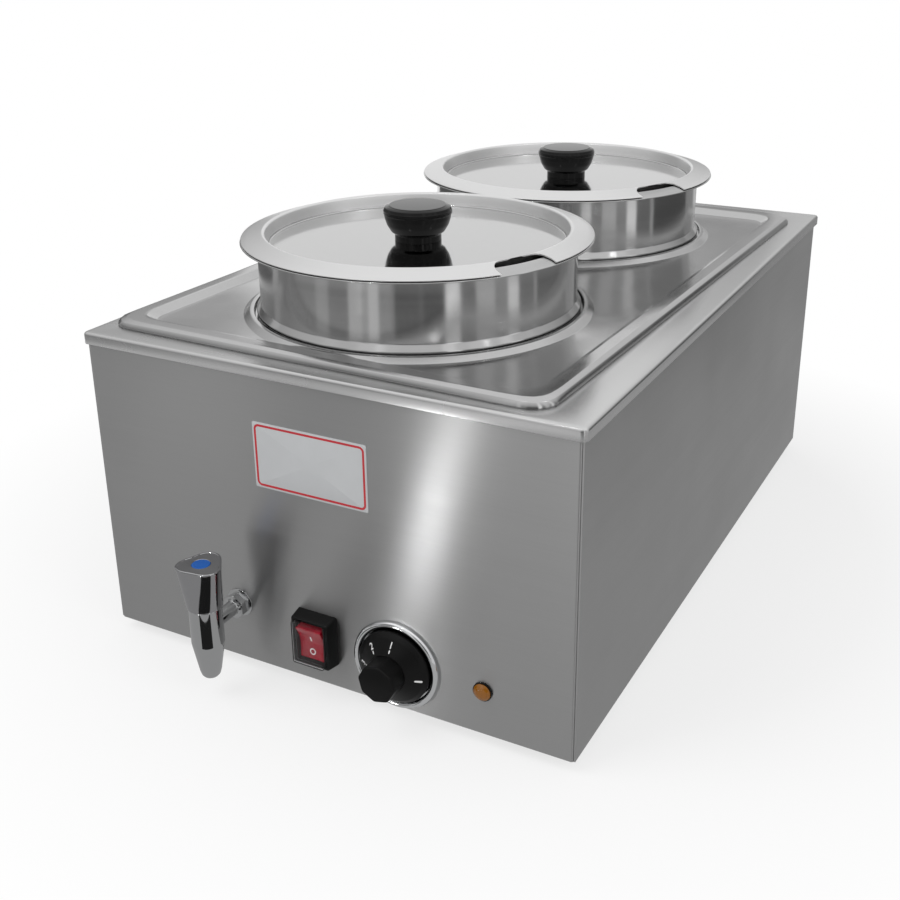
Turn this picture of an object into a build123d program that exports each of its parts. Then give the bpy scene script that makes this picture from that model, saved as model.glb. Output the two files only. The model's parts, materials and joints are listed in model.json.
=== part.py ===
from build123d import *
import math
import os

# An electric soup chafer: a steel water bath on four feet, heated from below,
# with an adapter plate on top that carries two round pots with ladle lids.
# Sizes are in millimetres. X runs across the front, Y from front to back and
# Z up from the table. While it is built, Y counts from the deck's front edge;
# the finished model is then set with its middle over the origin.

# Driving sizes of the casing
DECK_WIDTH = 360.0
DECK_DEPTH = 546.0
CASE_HEIGHT = 218.0
DECK_LIP = 8.0
DECK_OVERHANG = 2.2
DECK_CORNER = 4.0
DECK_EDGE = 2.2
SHEET = 1.0
FLANGE = 12.0
BACK_BEND = 3.0
PANEL_BEND = 1.5
PANEL_GAP = 0.1
SIDE_SETBACK = 1.0
PANEL_DEPTH = 12.0

# Feet and floor of the casing
FOOT_HEIGHT = 8.0
FOOT_TOP_R = 13.0
FOOT_TIP_R = 11.0
FOOT_INSET = 42.0
BASE_INSET = 3.0
VENT_LENGTH = 38.0
VENT_WIDTH = 5.0
VENT_COLUMNS = 4
VENT_ROWS = 9
VENT_PITCH_X = 54.0
VENT_PITCH_Y = 34.0
VENT_MIDDLE_Y = 300.0
SCREW_R = 2.0
SCREW_HEAD_R = 3.8
SCREW_HEAD = 2.2
SCREW_LENGTH = 8.0
BASE_SCREW_STATIONS = 4
HOLE_CLEARANCE = 0.25

# Water well
DECK_BORDER = 32.0
WELL_FRONT = 35.0
WELL_DEPTH = 150.0
WELL_CORNER = 30.0
WELL_FLOOR_BEND = 8.0
WELL_FLANGE = 8.0

# Adapter plate, laid on the deck by hand and so a little askew
PLATE_WIDTH = 326.0
PLATE_LENGTH = 505.0
PLATE_X = -5.0
PLATE_Y = 266.5
PLATE_TURN = -1.3
PLATE_CORNER = 17.0
RIM_WIDTH = 19.0
RIM_TOP = 12.5
RIM_RISE = 5.3
RIM_SHOULDER = 4.5
HOLE_SHIFT = 3.9
HOLE_PITCH = 242.0
LEDGE_R = 108.5
LIP_INNER_R = 113.8
LIP_OUTER_R = 121.5
LIP_RISE = 4.4

# Pots
POT_SHEET = 0.8
POT_WALL_R = 109.5
POT_BEAD_R = 112.4
POT_BODY_R = 107.5
POT_BEAD_LOW = 1.2
POT_BEAD_TOP = 9.5
POT_RIM_Z = 55.3
POT_RIM_R = 120.7
POT_RIM_FALL = 3.2
POT_BELOW = 138.0
POT_FLOOR_BEND = 14.0

# Lids and their knobs
LID_SHEET = 0.8
LID_DISC_R = 102.0
LID_CREST_R = 105.0
LID_EDGE_R = 119.8
LID_DISC_Z = 48.0
LID_CREST_Z = 58.0
LID_SEAT_GAP = 0.35
NOTCH_ANGLE_FRONT = -23.7
NOTCH_ANGLE_REAR = -25.7
NOTCH_WIDTH = 44.0
NOTCH_INNER_R = 98.0
NOTCH_CORNER = 11.0
KNOB_HEIGHT = 24.3
KNOB_R = 23.5
KNOB_NECK_R = 16.0
KNOB_TOP_R = 19.2
KNOB_NECK = 4.5
KNOB_BAND_LOW = 18.3
KNOB_BAND_HIGH = 21.2
KNOB_SCREW_R = 2.5
KNOB_SCREW_DEPTH = 12.0

# Tap
TAP_X = -66.5
TAP_REACH = 35.2
TAP_PIPE_Z = 52.0
TAP_BODY_R = 10.85
TAP_TIP_R = 6.2
TAP_TIP_Z = 16.0
TAP_TAPER_Z = 42.0
TAP_BODY_TOP = 68.4
TAP_OUTLET_R = 4.0
TAP_INLET_R = 3.0
TAP_BONNET_R = 8.2
TAP_BONNET_TOP = 77.0
TAP_SPINDLE_R = 4.0
TAP_HANDLE_GAP = 0.3
TAP_HANDLE_LOW_R = 11.8
TAP_HANDLE_TOP_R = 14.7
TAP_HANDLE_LOBE = 1.9
TAP_HANDLE_TURN = -22.0
TAP_HANDLE_HEIGHT = 30.2
TAP_CAP_R = 6.0
TAP_CAP_DEPTH = 3.0
TAP_PIPE_R = 5.0
TAP_COLLAR_R = 8.5
TAP_COLLAR = 7.0
TAP_TAIL_R = 6.0
TAP_TAIL = 26.0
TAP_WASHER_R = 10.0
TAP_WASHER = 1.0

# Drain between well and tap
DRAIN_Y = 72.0
DRAIN_SHANK_R = 9.0
DRAIN_BORE_R = 6.0
DRAIN_FLANGE_R = 14.0
DRAIN_FLANGE = 1.5
DRAIN_NUT_R = 15.0
DRAIN_NUT = 6.0
DRAIN_STUB = 26.0
HOSE_WALL = 2.5
HOSE_OVERLAP = 12.0
CLIP_WIDTH = 7.0
CLIP_THICKNESS = 1.0

# Thermostat with its dial
DIAL_X = 55.7
DIAL_Z = 41.0
BEZEL_R = 30.8
BEZEL_INNER_R = 26.5
BEZEL_RISE = 4.0
BEZEL_DISC = 0.8
SKIRT_R = 25.2
SKIRT_GAP = 3.0
SKIRT_EDGE = 1.6
SKIRT_RISE = 12.5
GRIP_R = 13.2
GRIP_REACH = 26.0
GRIP_SIDES = 8
GRIP_TURN = 14.7
KNOB_SHELL = 2.0
SHAFT_R = 3.0
SHAFT_REACH = 20.0
SHAFT_BACK = 20.0
THERMOSTAT_WIDTH = 36.0
THERMOSTAT_HEIGHT = 40.0
THERMOSTAT_DEPTH = 28.0
THERMOSTAT_SCREW_PITCH = 28.0
THERMOSTAT_SCREW_HEAD = 1.3

# Rocker switch
SWITCH_X = -3.8
SWITCH_Z = 43.6
SWITCH_WIDTH = 30.0
SWITCH_HEIGHT = 36.0
SWITCH_RISE = 10.0
SWITCH_TAPER = 6.0
SWITCH_BODY_WIDTH = 24.6
SWITCH_BODY_HEIGHT = 31.0
SWITCH_BODY_DEPTH = 22.0
ROCKER_WIDTH = 19.0
ROCKER_HEIGHT = 24.6
ROCKER_TILT = 10.0
ROCKER_DIP = 7.2
ROCKER_PIVOT_R = 1.5
ROCKER_PIVOT_LENGTH = 2.0
ROCKER_PIVOT_DEPTH = 2.2
ROCKER_BACK = 5.0
ROCKER_SIDE_GAP = 0.5
ROCKER_END_GAP = 1.9
COVER_WIDTH = 24.0
COVER_HEIGHT = 31.0
COVER_RISE = 3.8
COVER_WALL = 0.8
TAB_WIDTH = 6.3
TAB_SHEET = 0.8
TAB_LENGTH = 9.0

# Signal lamp
LAMP_INSET = 63.4
LAMP_Z = 40.3
LAMP_RING_R = 6.4
LAMP_RING = 1.4
LAMP_SEAT = 0.4
LAMP_LENS_R = 5.0
LAMP_LENS_RISE = 4.2
LAMP_BODY_R = 4.8
LAMP_BODY = 20.0
LAMP_NUT_R = 7.5
LAMP_NUT = 3.0

# Plain plate on the front
LABEL_X = -3.0
LABEL_Z = 166.0
LABEL_WIDTH = 84.0
LABEL_HEIGHT = 45.0
LABEL_SHEET = 0.6
LABEL_CORNER = 4.0

# Heating under the well
ELEMENT_R = 4.0
ELEMENT_GAP = 0.1
ELEMENT_MARGIN = 43.0
ELEMENT_INNER_X = 38.0
ELEMENT_FRONT = 150.0
ELEMENT_BACK = 440.0
ELEMENT_START = 100.0
ELEMENT_BEND = 24.0
PIN_R = 1.8
PIN_LENGTH = 14.0
CLAMP_WIDTH = 14.0
CLAMP_SHEET = 1.5
CLAMP_MARGIN = 18.0
CLAMP_STATIONS = 3
CLAMP_FIRST_Y = 180.0
CLAMP_PITCH = 110.0
STUD_R = 2.5
NUT_R = 4.6
NUT_HEIGHT = 4.0
SHIELD_DROP = 20.0
SHIELD_MARGIN = 3.0
SHIELD_FRONT = 120.0
SHIELD_BACK_MARGIN = 11.0
SHIELD_FLANGE = 10.0
BULB_R = 3.0
BULB_LENGTH = 80.0
BULB_X = 8.0
BULB_Y = 84.0
CAPILLARY_R = 0.8
CAPILLARY_BEND = 6.0
CUTOUT_X = 92.0
CUTOUT_Y = 66.0
CUTOUT_R = 8.0
CUTOUT_FLANGE_R = 12.0
CUTOUT_HEIGHT = 9.0

# Mains entry at the back
GLAND_INSET = 40.0
GLAND_Z = 42.0
GLAND_BORE_R = 4.2
GLAND_SLEEVE_R = 8.0
GLAND_COLLAR_R = 11.0
GLAND_COLLAR = 4.0
GLAND_NOSE = 9.0
GLAND_NOSE_R = 6.6
GLAND_INSIDE = 10.0
GLAND_NUT = 4.0
BLOCK_INSET = 96.0
BLOCK_BACK = 46.0
BLOCK_WIDTH = 40.0
BLOCK_DEPTH = 20.0
BLOCK_HEIGHT = 16.0
BLOCK_POLES = 3
EARTH_INSET = 140.0
EARTH_LENGTH = 16.0
WIRE_R = 1.4
WIRE_GAP = 0.4
WIRE_BEND = 14.0

# Clearances
FIT = 0.03
SNUG = 0.05
LOOSE = 0.3

# Levels and planes that follow from the sizes above
BASE_Z = FOOT_HEIGHT
WALL_Z = BASE_Z + SHEET
DECK_Z = WALL_Z + CASE_HEIGHT
UNDER_DECK_Z = DECK_Z - SHEET
SIDE_X = DECK_WIDTH / 2 - DECK_OVERHANG
PANEL_Y = DECK_OVERHANG
PANEL_BACK_Y = PANEL_Y + SHEET
BACK_Y = DECK_DEPTH - DECK_OVERHANG
BACK_INSIDE_Y = BACK_Y - SHEET
WELL_WIDTH = DECK_WIDTH - 2 * DECK_BORDER
WELL_LENGTH = DECK_DEPTH - 2 * WELL_FRONT
WELL_FLOOR_Z = DECK_Z - WELL_DEPTH
WELL_UNDER_Z = WELL_FLOOR_Z - SHEET
WELL_MIDDLE_Y = WELL_FRONT + WELL_LENGTH / 2
PANEL_HALF = SIDE_X - SHEET - PANEL_GAP
TAP_Y = PANEL_Y - TAP_REACH
HANDLE_Z = TAP_BODY_TOP + TAP_HANDLE_GAP
HANDLE_TOP_Z = HANDLE_Z + TAP_HANDLE_HEIGHT
ELEMENT_Z = WELL_UNDER_Z - ELEMENT_GAP - ELEMENT_R
CLAMP_TOP_Z = ELEMENT_Z - ELEMENT_R - ELEMENT_GAP
SHIELD_Z = WELL_UNDER_Z - SHIELD_DROP
SHIELD_HALF_WIDTH = WELL_WIDTH / 2 - SHIELD_MARGIN
SHIELD_BACK = WELL_FRONT + WELL_LENGTH - SHIELD_BACK_MARGIN
ELEMENT_OUTER_X = WELL_WIDTH / 2 - ELEMENT_MARGIN
CLAMP_HALF_SPAN = WELL_WIDTH / 2 - CLAMP_MARGIN
LAMP_X = DECK_WIDTH / 2 - LAMP_INSET
GLAND_X = DECK_WIDTH / 2 - GLAND_INSET
BLOCK_X = DECK_WIDTH / 2 - BLOCK_INSET
BLOCK_Y = DECK_DEPTH - BLOCK_BACK
EARTH_X = DECK_WIDTH / 2 - EARTH_INSET
PLATE_PLACE = Location((PLATE_X, PLATE_Y, DECK_Z), (0, 0, PLATE_TURN))
POT_PLACES = [
    PLATE_PLACE * Pos(0, HOLE_SHIFT + side * HOLE_PITCH / 2, 0) for side in (-1, 1)
]


def block(x0, x1, y0, y1, z0, z1):
    """A block between two corners."""
    middle = Pos((x0 + x1) / 2, (y0 + y1) / 2, (z0 + z1) / 2)
    return middle * Box(x1 - x0, y1 - y0, z1 - z0)


def upright(radius, x, y, z0, z1):
    """A round bar standing along Z."""
    return Pos(x, y, (z0 + z1) / 2) * Cylinder(radius, z1 - z0)


def level(radius, x, z, y0, y1):
    """A round bar lying along Y."""
    return Pos(x, (y0 + y1) / 2, z) * Rot(90, 0, 0) * Cylinder(radius, y1 - y0)


def hexagon(radius, x, y, z0, z1):
    """A hexagonal nut blank standing along Z."""
    return Pos(x, y, z0) * extrude(RegularPolygon(radius, 6), z1 - z0)


def hexagon_level(radius, x, z, y0, y1):
    """A hexagonal nut blank lying along Y."""
    return Pos(x, y1, z) * Rot(90, 0, 0) * extrude(RegularPolygon(radius, 6), y1 - y0)


def rounded(width, length, corner, x, y, z0, z1):
    """A block with round upright corners, given by its middle and two levels."""
    return Pos(x, y, z0) * extrude(RectangleRounded(width, length, corner), z1 - z0)


def turned(points):
    """A solid turned about Z from the half section that the points bound."""
    return revolve(Plane.XZ * make_face(Polyline(*points, close=True)), axis=Axis.Z)


def turned_sheet(points, bends, thickness):
    """A sheet turned about Z, bent along the middle line that the points give."""
    line = FilletPolyline(*points, radius=bends)
    return revolve(Plane.XZ * trace(line, thickness), axis=Axis.Z)


def facing(shape, x, y, z):
    """Turns a shape made along Z so that its top faces the front."""
    return Pos(x, y, z) * Rot(90, 0, 0) * shape


def tube(points, bends, radius):
    """A round bar along a bent line."""
    line = FilletPolyline(*points, radius=bends)
    return sweep(Plane(line @ 0, z_dir=line % 0) * Circle(radius), path=line)


def pan_screw(x, y, z, length):
    """A pan head screw pointing up, its head hanging under the level z."""
    head = upright(SCREW_HEAD_R, x, y, z - SCREW_HEAD, z)
    head = fillet(head.edges().sort_by(Axis.Z)[0], SCREW_HEAD * 0.4)
    return head + upright(SCREW_R, x, y, z, z + length)


def foot_spots():
    """The four places of the feet."""
    across = DECK_WIDTH / 2 - FOOT_INSET
    return [(x, y) for x in (-across, across) for y in (FOOT_INSET, DECK_DEPTH - FOOT_INSET)]


def base_screw_spots():
    """Screws that hold the floor to the side flanges of the casing."""
    across = SIDE_X - SHEET - FLANGE / 2
    pitch = (BACK_Y - PANEL_Y) / BASE_SCREW_STATIONS
    rows = [PANEL_Y + pitch * (step + 0.5) for step in range(BASE_SCREW_STATIONS)]
    return [(x, y) for x in (-across, across) for y in rows]


def front_panel():
    """The folded front sheet with its openings for the controls."""
    panel = block(-PANEL_HALF, PANEL_HALF, PANEL_Y, PANEL_Y + PANEL_DEPTH, WALL_Z, UNDER_DECK_Z)
    bends = panel.edges().filter_by(Axis.Z).group_by(Axis.Y)[0]
    panel = fillet(bends, PANEL_BEND)
    panel -= block(
        SHEET - PANEL_HALF, PANEL_HALF - SHEET, PANEL_BACK_Y, PANEL_Y + 2 * PANEL_DEPTH,
        WALL_Z + SHEET, UNDER_DECK_Z - SHEET,
    )
    through = (PANEL_Y - SHEET, PANEL_BACK_Y + SHEET)
    panel -= level(TAP_TAIL_R + HOLE_CLEARANCE, TAP_X, TAP_PIPE_Z, *through)
    panel -= level(LAMP_BODY_R + HOLE_CLEARANCE, LAMP_X, LAMP_Z, *through)
    panel -= level(SHAFT_R + HOLE_CLEARANCE, DIAL_X, DIAL_Z, *through)
    for x in thermostat_screw_xs():
        panel -= level(SCREW_R + HOLE_CLEARANCE, x, DIAL_Z, *through)
    half_x = SWITCH_BODY_WIDTH / 2 + HOLE_CLEARANCE
    half_z = SWITCH_BODY_HEIGHT / 2 + HOLE_CLEARANCE
    panel -= block(
        SWITCH_X - half_x, SWITCH_X + half_x, *through, SWITCH_Z - half_z, SWITCH_Z + half_z
    )
    return panel


def side_panels():
    """The two side sheets, folded in at top, bottom and back."""
    front = PANEL_Y + SIDE_SETBACK
    back = BACK_INSIDE_Y - PANEL_GAP
    group = []
    for side in (-1, 1):
        outer = side * SIDE_X
        inner = side * (SIDE_X - SHEET)
        lip = side * (SIDE_X - SHEET - FLANGE)
        sheet = block(*sorted((outer, lip)), front, back, WALL_Z, UNDER_DECK_Z)
        sheet = fillet(side_bend(sheet, side), BACK_BEND)
        inside = sorted((inner, lip - side * SHEET))
        hollow = block(
            *inside, front - SHEET, back - SHEET, WALL_Z + SHEET, UNDER_DECK_Z - SHEET
        )
        sheet -= fillet(side_bend(hollow, side), BACK_BEND - SHEET)
        sheet -= block(*inside, front - SHEET, PANEL_Y + PANEL_DEPTH + LOOSE, 0, DECK_Z)
        for x, y in base_screw_spots():
            sheet -= upright(SCREW_R + SNUG, x, y, 0, WALL_Z + 2 * SHEET)
        group.append(sheet)
    return group


def side_bend(shape, side):
    """The upright edge at the back outer corner of a side sheet."""
    edges = shape.edges().filter_by(Axis.Z).group_by(Axis.Y)[-1].sort_by(Axis.X)
    return edges[-1] if side > 0 else edges[0]


def back_panel():
    """The back sheet over the folds of the side sheets, with the gland's hole."""
    half = SIDE_X - BACK_BEND
    panel = block(-half, half, BACK_INSIDE_Y, BACK_Y, WALL_Z, UNDER_DECK_Z)
    fold = SIDE_X - SHEET - FLANGE - LOOSE
    for low in (WALL_Z, UNDER_DECK_Z - SHEET):
        panel += block(-fold, fold, BACK_INSIDE_Y - FLANGE, BACK_INSIDE_Y, low, low + SHEET)
    hole_r = GLAND_SLEEVE_R + HOLE_CLEARANCE
    return panel - level(hole_r, GLAND_X, GLAND_Z, BACK_INSIDE_Y - SHEET, BACK_Y + SHEET)


def top_deck():
    """The tray turned over the casing, open over the well."""
    middle_y = DECK_DEPTH / 2
    low = DECK_Z - DECK_LIP
    deck = rounded(DECK_WIDTH, DECK_DEPTH, DECK_CORNER, 0, middle_y, low, DECK_Z)
    deck = fillet(deck.edges().group_by(Axis.Z)[-1], DECK_EDGE)
    inner = rounded(
        DECK_WIDTH - 2 * SHEET, DECK_DEPTH - 2 * SHEET, DECK_CORNER - SHEET,
        0, middle_y, low - SHEET, UNDER_DECK_Z,
    )
    inner = fillet(inner.edges().group_by(Axis.Z)[-1], DECK_EDGE - SHEET)
    opening = rounded(
        WELL_WIDTH, WELL_LENGTH, WELL_CORNER, 0, WELL_MIDDLE_Y, low, DECK_Z + SHEET
    )
    return deck - inner - opening


def water_well():
    """The deep-drawn water bath hung under the deck by its flange."""
    shell = rounded(
        WELL_WIDTH + 2 * SHEET, WELL_LENGTH + 2 * SHEET, WELL_CORNER + SHEET,
        0, WELL_MIDDLE_Y, WELL_UNDER_Z, UNDER_DECK_Z,
    )
    shell = fillet(shell.edges().group_by(Axis.Z)[0], WELL_FLOOR_BEND + SHEET)
    shell += rounded(
        WELL_WIDTH + 2 * WELL_FLANGE, WELL_LENGTH + 2 * WELL_FLANGE, WELL_CORNER + WELL_FLANGE,
        0, WELL_MIDDLE_Y, UNDER_DECK_Z - SHEET, UNDER_DECK_Z,
    )
    water = rounded(
        WELL_WIDTH, WELL_LENGTH, WELL_CORNER, 0, WELL_MIDDLE_Y, WELL_FLOOR_Z, DECK_Z
    )
    water = fillet(water.edges().group_by(Axis.Z)[0], WELL_FLOOR_BEND)
    drain = upright(DRAIN_SHANK_R + SNUG, TAP_X, DRAIN_Y, BASE_Z, WELL_FLOOR_Z + SHEET)
    return shell - water - drain


def base_plate():
    """The floor with rows of vent slots."""
    half = SIDE_X - BASE_INSET
    plate = block(-half, half, PANEL_Y + BASE_INSET, BACK_Y - BASE_INSET, BASE_Z, WALL_Z)
    slot = extrude(SlotOverall(VENT_LENGTH, VENT_WIDTH), 3 * SHEET)
    with_middle = Pos(0, VENT_MIDDLE_Y, BASE_Z - SHEET)
    for spot in GridLocations(VENT_PITCH_X, VENT_PITCH_Y, VENT_COLUMNS, VENT_ROWS):
        plate -= with_middle * spot * slot
    for x, y in foot_spots() + base_screw_spots():
        plate -= upright(SCREW_R + SNUG, x, y, 0, WALL_Z + SHEET)
    plate -= upright(STUD_R + SNUG, EARTH_X, BLOCK_Y, 0, WALL_Z + SHEET)
    return plate


def feet():
    """Four rubber feet, each hollowed for its screw's head."""
    seat = FOOT_HEIGHT / 2
    group = []
    for x, y in foot_spots():
        foot = Pos(x, y, 0) * turned(
            [(0, 0), (FOOT_TIP_R, 0), (FOOT_TOP_R, seat), (FOOT_TOP_R, FOOT_HEIGHT), (0, FOOT_HEIGHT)]
        )
        foot -= upright(SCREW_HEAD_R + LOOSE, x, y, -SHEET, seat)
        foot -= upright(SCREW_R + SNUG, x, y, 0, FOOT_HEIGHT + SHEET)
        group.append(foot)
    return group


def foot_screws():
    """The screws up through the feet."""
    seat = FOOT_HEIGHT / 2
    return [pan_screw(x, y, seat, seat + SHEET + NUT_HEIGHT + SHEET) for x, y in foot_spots()]


def foot_nuts():
    """The nuts on the floor over each foot."""
    group = []
    for x, y in foot_spots():
        nut = hexagon(NUT_R, x, y, WALL_Z, WALL_Z + NUT_HEIGHT)
        group.append(nut - upright(SCREW_R + FIT, x, y, 0, WALL_Z + 2 * NUT_HEIGHT))
    return group


def base_screws():
    """The screws up through the floor's edge."""
    return [pan_screw(x, y, BASE_Z, SCREW_LENGTH) for x, y in base_screw_spots()]


def rim_layer(inset, corner, z0, next_inset, next_corner, z1):
    """One sloping layer of the plate, between two rounded rectangles."""
    low = Pos(0, 0, z0) * RectangleRounded(
        PLATE_WIDTH - 2 * inset, PLATE_LENGTH - 2 * inset, corner
    )
    high = Pos(0, 0, z1) * RectangleRounded(
        PLATE_WIDTH - 2 * next_inset, PLATE_LENGTH - 2 * next_inset, next_corner
    )
    return loft([low, high], ruled=True)


def rim_pocket(grow):
    """The hollow inside the rim down to the panel, or the same grown by a sheet."""
    foot = RIM_WIDTH - grow * 0.6
    top = RIM_TOP + 1.5 - grow
    corner = PLATE_CORNER - 3
    slope = rim_layer(foot, corner, SHEET - grow, top, corner + 2, RIM_RISE - 0.3 - grow)
    crest_z = RIM_RISE - 0.3 - grow
    return slope + rim_layer(top, corner + 2, crest_z, RIM_TOP - grow, corner + 3, RIM_RISE + SHEET)


def rim_mound(shrink):
    """The plate's outside up to the rim's top, or the same shrunk by a sheet."""
    wall = 1.6 - shrink * 0.4
    shoulder = 4.0 - shrink * 0.9
    top = RIM_RISE - shrink
    corner = PLATE_CORNER - shrink
    mound = rim_layer(shrink, corner, -shrink, shrink, corner, wall)
    mound += rim_layer(shrink, corner, wall, 1.5 + shrink * 0.8, corner - 1, shoulder)
    return mound + rim_layer(
        1.5 + shrink * 0.8, corner - 1, shoulder, RIM_SHOULDER + shrink * 0.3, corner - 2, top
    )


def adapter_plate():
    """The pressed plate: raised rim, flat panel and a lip round each pot hole."""
    plate = rim_mound(0) - rim_pocket(0)
    plate -= rim_mound(SHEET) - rim_pocket(SHEET)
    for side in (-1, 1):
        spot = Pos(0, HOLE_SHIFT + side * HOLE_PITCH / 2, 0)
        plate -= spot * Cylinder(LIP_OUTER_R, 4 * RIM_RISE)
        plate += spot * plate_lip()
    return PLATE_PLACE * plate


def plate_lip():
    """The raised lip with the ledge that a pot's bead sits on."""
    half = SHEET / 2
    line = [
        (LIP_OUTER_R + 1, half),
        (LIP_OUTER_R - half, half),
        (LIP_INNER_R + 3.4, LIP_RISE - half),
        (LIP_INNER_R + half + 0.3, LIP_RISE - half),
        (LIP_INNER_R + half, half),
        (LEDGE_R, half),
    ]
    return turned_sheet(line, [0.5, 1.0, 0.9, 0.7], SHEET)


def pot():
    """A round pot whose bead sits on the ledge and whose rim falls outwards."""
    half = POT_SHEET / 2
    line = [
        (0, half - POT_BELOW),
        (POT_BODY_R - half, half - POT_BELOW),
        (POT_BODY_R - half, POT_BEAD_LOW),
        (POT_BEAD_R - half, POT_BEAD_LOW + 2.4),
        (POT_BEAD_R - half, POT_BEAD_LOW + 4.2),
        (POT_WALL_R - half, POT_BEAD_TOP),
        (POT_WALL_R - half, POT_RIM_Z - half),
        (POT_RIM_R - half, POT_RIM_Z - half - POT_RIM_FALL),
    ]
    return turned_sheet(line, [POT_FLOOR_BEND, 1.2, 0.8, 1.2, 2.0, 1.2], POT_SHEET)


def lid(notch_angle):
    """A ladle lid: mirror disc, raised crest, falling rim and an open notch."""
    half = LID_SHEET / 2
    share = (LID_EDGE_R - POT_WALL_R) / (POT_RIM_R - POT_WALL_R)
    edge_z = POT_RIM_Z - share * POT_RIM_FALL + LID_SEAT_GAP + half
    line = [
        (0, LID_DISC_Z - half),
        (LID_DISC_R, LID_DISC_Z - half),
        (LID_CREST_R - half, LID_CREST_Z - half),
        (LID_EDGE_R, edge_z),
    ]
    sheet = turned_sheet(line, [1.4, 1.6], LID_SHEET)
    length = LID_EDGE_R
    notch = Pos(NOTCH_INNER_R + length / 2, 0, 0) * extrude(
        RectangleRounded(length, NOTCH_WIDTH, NOTCH_CORNER), LID_CREST_Z + LID_SHEET
    )
    sheet -= Rot(0, 0, notch_angle) * notch
    return sheet - upright(KNOB_SCREW_R + HOLE_CLEARANCE, 0, 0, 0, LID_CREST_Z)


def lid_knob():
    """The turned knob, with a threaded blind hole from below."""
    z = LID_DISC_Z
    bowl = ThreePointArc(
        (KNOB_NECK_R, z + KNOB_NECK),
        (KNOB_R - 2.2, z + KNOB_NECK + 6.5),
        (KNOB_R - 0.3, z + KNOB_BAND_LOW),
    )
    rest = Polyline(
        bowl @ 1,
        (KNOB_R, z + KNOB_BAND_LOW + 0.4),
        (KNOB_R - 0.2, z + KNOB_BAND_HIGH),
        (KNOB_R - 1.4, z + KNOB_HEIGHT - 1.1),
        (KNOB_TOP_R + 0.9, z + KNOB_HEIGHT - 0.5),
        (KNOB_TOP_R, z + KNOB_HEIGHT),
        (0, z + KNOB_HEIGHT),
        (0, z),
        (KNOB_NECK_R, z),
        bowl @ 0,
    )
    knob = revolve(Plane.XZ * make_face(bowl + rest), axis=Axis.Z)
    return knob - upright(KNOB_SCREW_R + FIT, 0, 0, z - 1, z + KNOB_SCREW_DEPTH)


def lid_washer():
    """The washer under the lid's disc."""
    z = LID_DISC_Z - LID_SHEET
    washer = upright(2.2 * KNOB_SCREW_R, 0, 0, z - SHEET, z)
    return washer - upright(KNOB_SCREW_R + HOLE_CLEARANCE, 0, 0, 0, LID_CREST_Z)


def lid_screw():
    """The screw from under the lid into the knob."""
    z = LID_DISC_Z - LID_SHEET - SHEET
    head = upright(1.9 * KNOB_SCREW_R, 0, 0, z - 3, z)
    head = fillet(head.edges().sort_by(Axis.Z)[0], 1.2)
    return head + upright(KNOB_SCREW_R, 0, 0, z, LID_DISC_Z + KNOB_SCREW_DEPTH - 1)


def tap_body():
    """The tap's tapered spout with its bonnet and bores."""
    body = turned([
        (0, TAP_TIP_Z),
        (TAP_TIP_R - 1.4, TAP_TIP_Z),
        (TAP_TIP_R, TAP_TIP_Z + 1.6),
        (TAP_TIP_R + 0.9, TAP_TIP_Z + 5),
        (TAP_BODY_R, TAP_TAPER_Z),
        (TAP_BODY_R, TAP_BODY_TOP),
        (TAP_BONNET_R, TAP_BODY_TOP),
        (TAP_BONNET_R, TAP_BONNET_TOP),
        (0, TAP_BONNET_TOP),
    ])
    seat = TAP_PIPE_Z + 2 * TAP_INLET_R
    body -= upright(TAP_OUTLET_R, 0, 0, 0, seat)
    body -= upright(TAP_SPINDLE_R + FIT, 0, 0, seat, TAP_BONNET_TOP + 1)
    body -= level(TAP_PIPE_R - 1.2, 0, TAP_PIPE_Z, 0, TAP_BODY_R + 1)
    return Pos(TAP_X, TAP_Y, 0) * body


def tap_inlet_pipe():
    """The level pipe from tap to panel, with collar and threaded tail."""
    start = TAP_Y + TAP_OUTLET_R + 1.5
    collar_end = PANEL_Y - TAP_WASHER
    pipe = level(TAP_PIPE_R - 1.2 - FIT, TAP_X, TAP_PIPE_Z, start, TAP_Y + TAP_BODY_R)
    pipe += level(TAP_PIPE_R, TAP_X, TAP_PIPE_Z, TAP_Y + TAP_BODY_R, collar_end - TAP_COLLAR)
    collar = hexagon_level(TAP_COLLAR_R, TAP_X, TAP_PIPE_Z, collar_end - TAP_COLLAR, collar_end)
    pipe += collar & level(TAP_COLLAR_R - 0.3, TAP_X, TAP_PIPE_Z, collar_end - TAP_COLLAR, collar_end)
    pipe += level(TAP_TAIL_R, TAP_X, TAP_PIPE_Z, collar_end, PANEL_Y + TAP_TAIL)
    pipe -= tap_body_hull()
    return pipe - level(TAP_INLET_R - 0.4, TAP_X, TAP_PIPE_Z, start - 1, PANEL_Y + TAP_TAIL + 1)


def tap_body_hull():
    """The space of the tap's barrel outside its inlet socket."""
    hull = upright(TAP_BODY_R, TAP_X, TAP_Y, TAP_TIP_Z, TAP_BODY_TOP)
    return hull - level(TAP_PIPE_R - 1.2, TAP_X, TAP_PIPE_Z, TAP_Y, TAP_Y + 2 * TAP_BODY_R)


def tap_washer():
    """The sealing washer in front of the panel."""
    washer = level(TAP_WASHER_R, TAP_X, TAP_PIPE_Z, PANEL_Y - TAP_WASHER, PANEL_Y)
    return washer - level(TAP_TAIL_R + SNUG, TAP_X, TAP_PIPE_Z, PANEL_Y - 2, PANEL_Y + 2)


def tap_back_nut():
    """The nut that holds the tap behind the panel."""
    end = PANEL_BACK_Y + NUT_HEIGHT + 1
    nut = hexagon_level(TAP_WASHER_R, TAP_X, TAP_PIPE_Z, PANEL_BACK_Y, end)
    return nut - level(TAP_TAIL_R + FIT, TAP_X, TAP_PIPE_Z, PANEL_BACK_Y - 1, end + 1)


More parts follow.
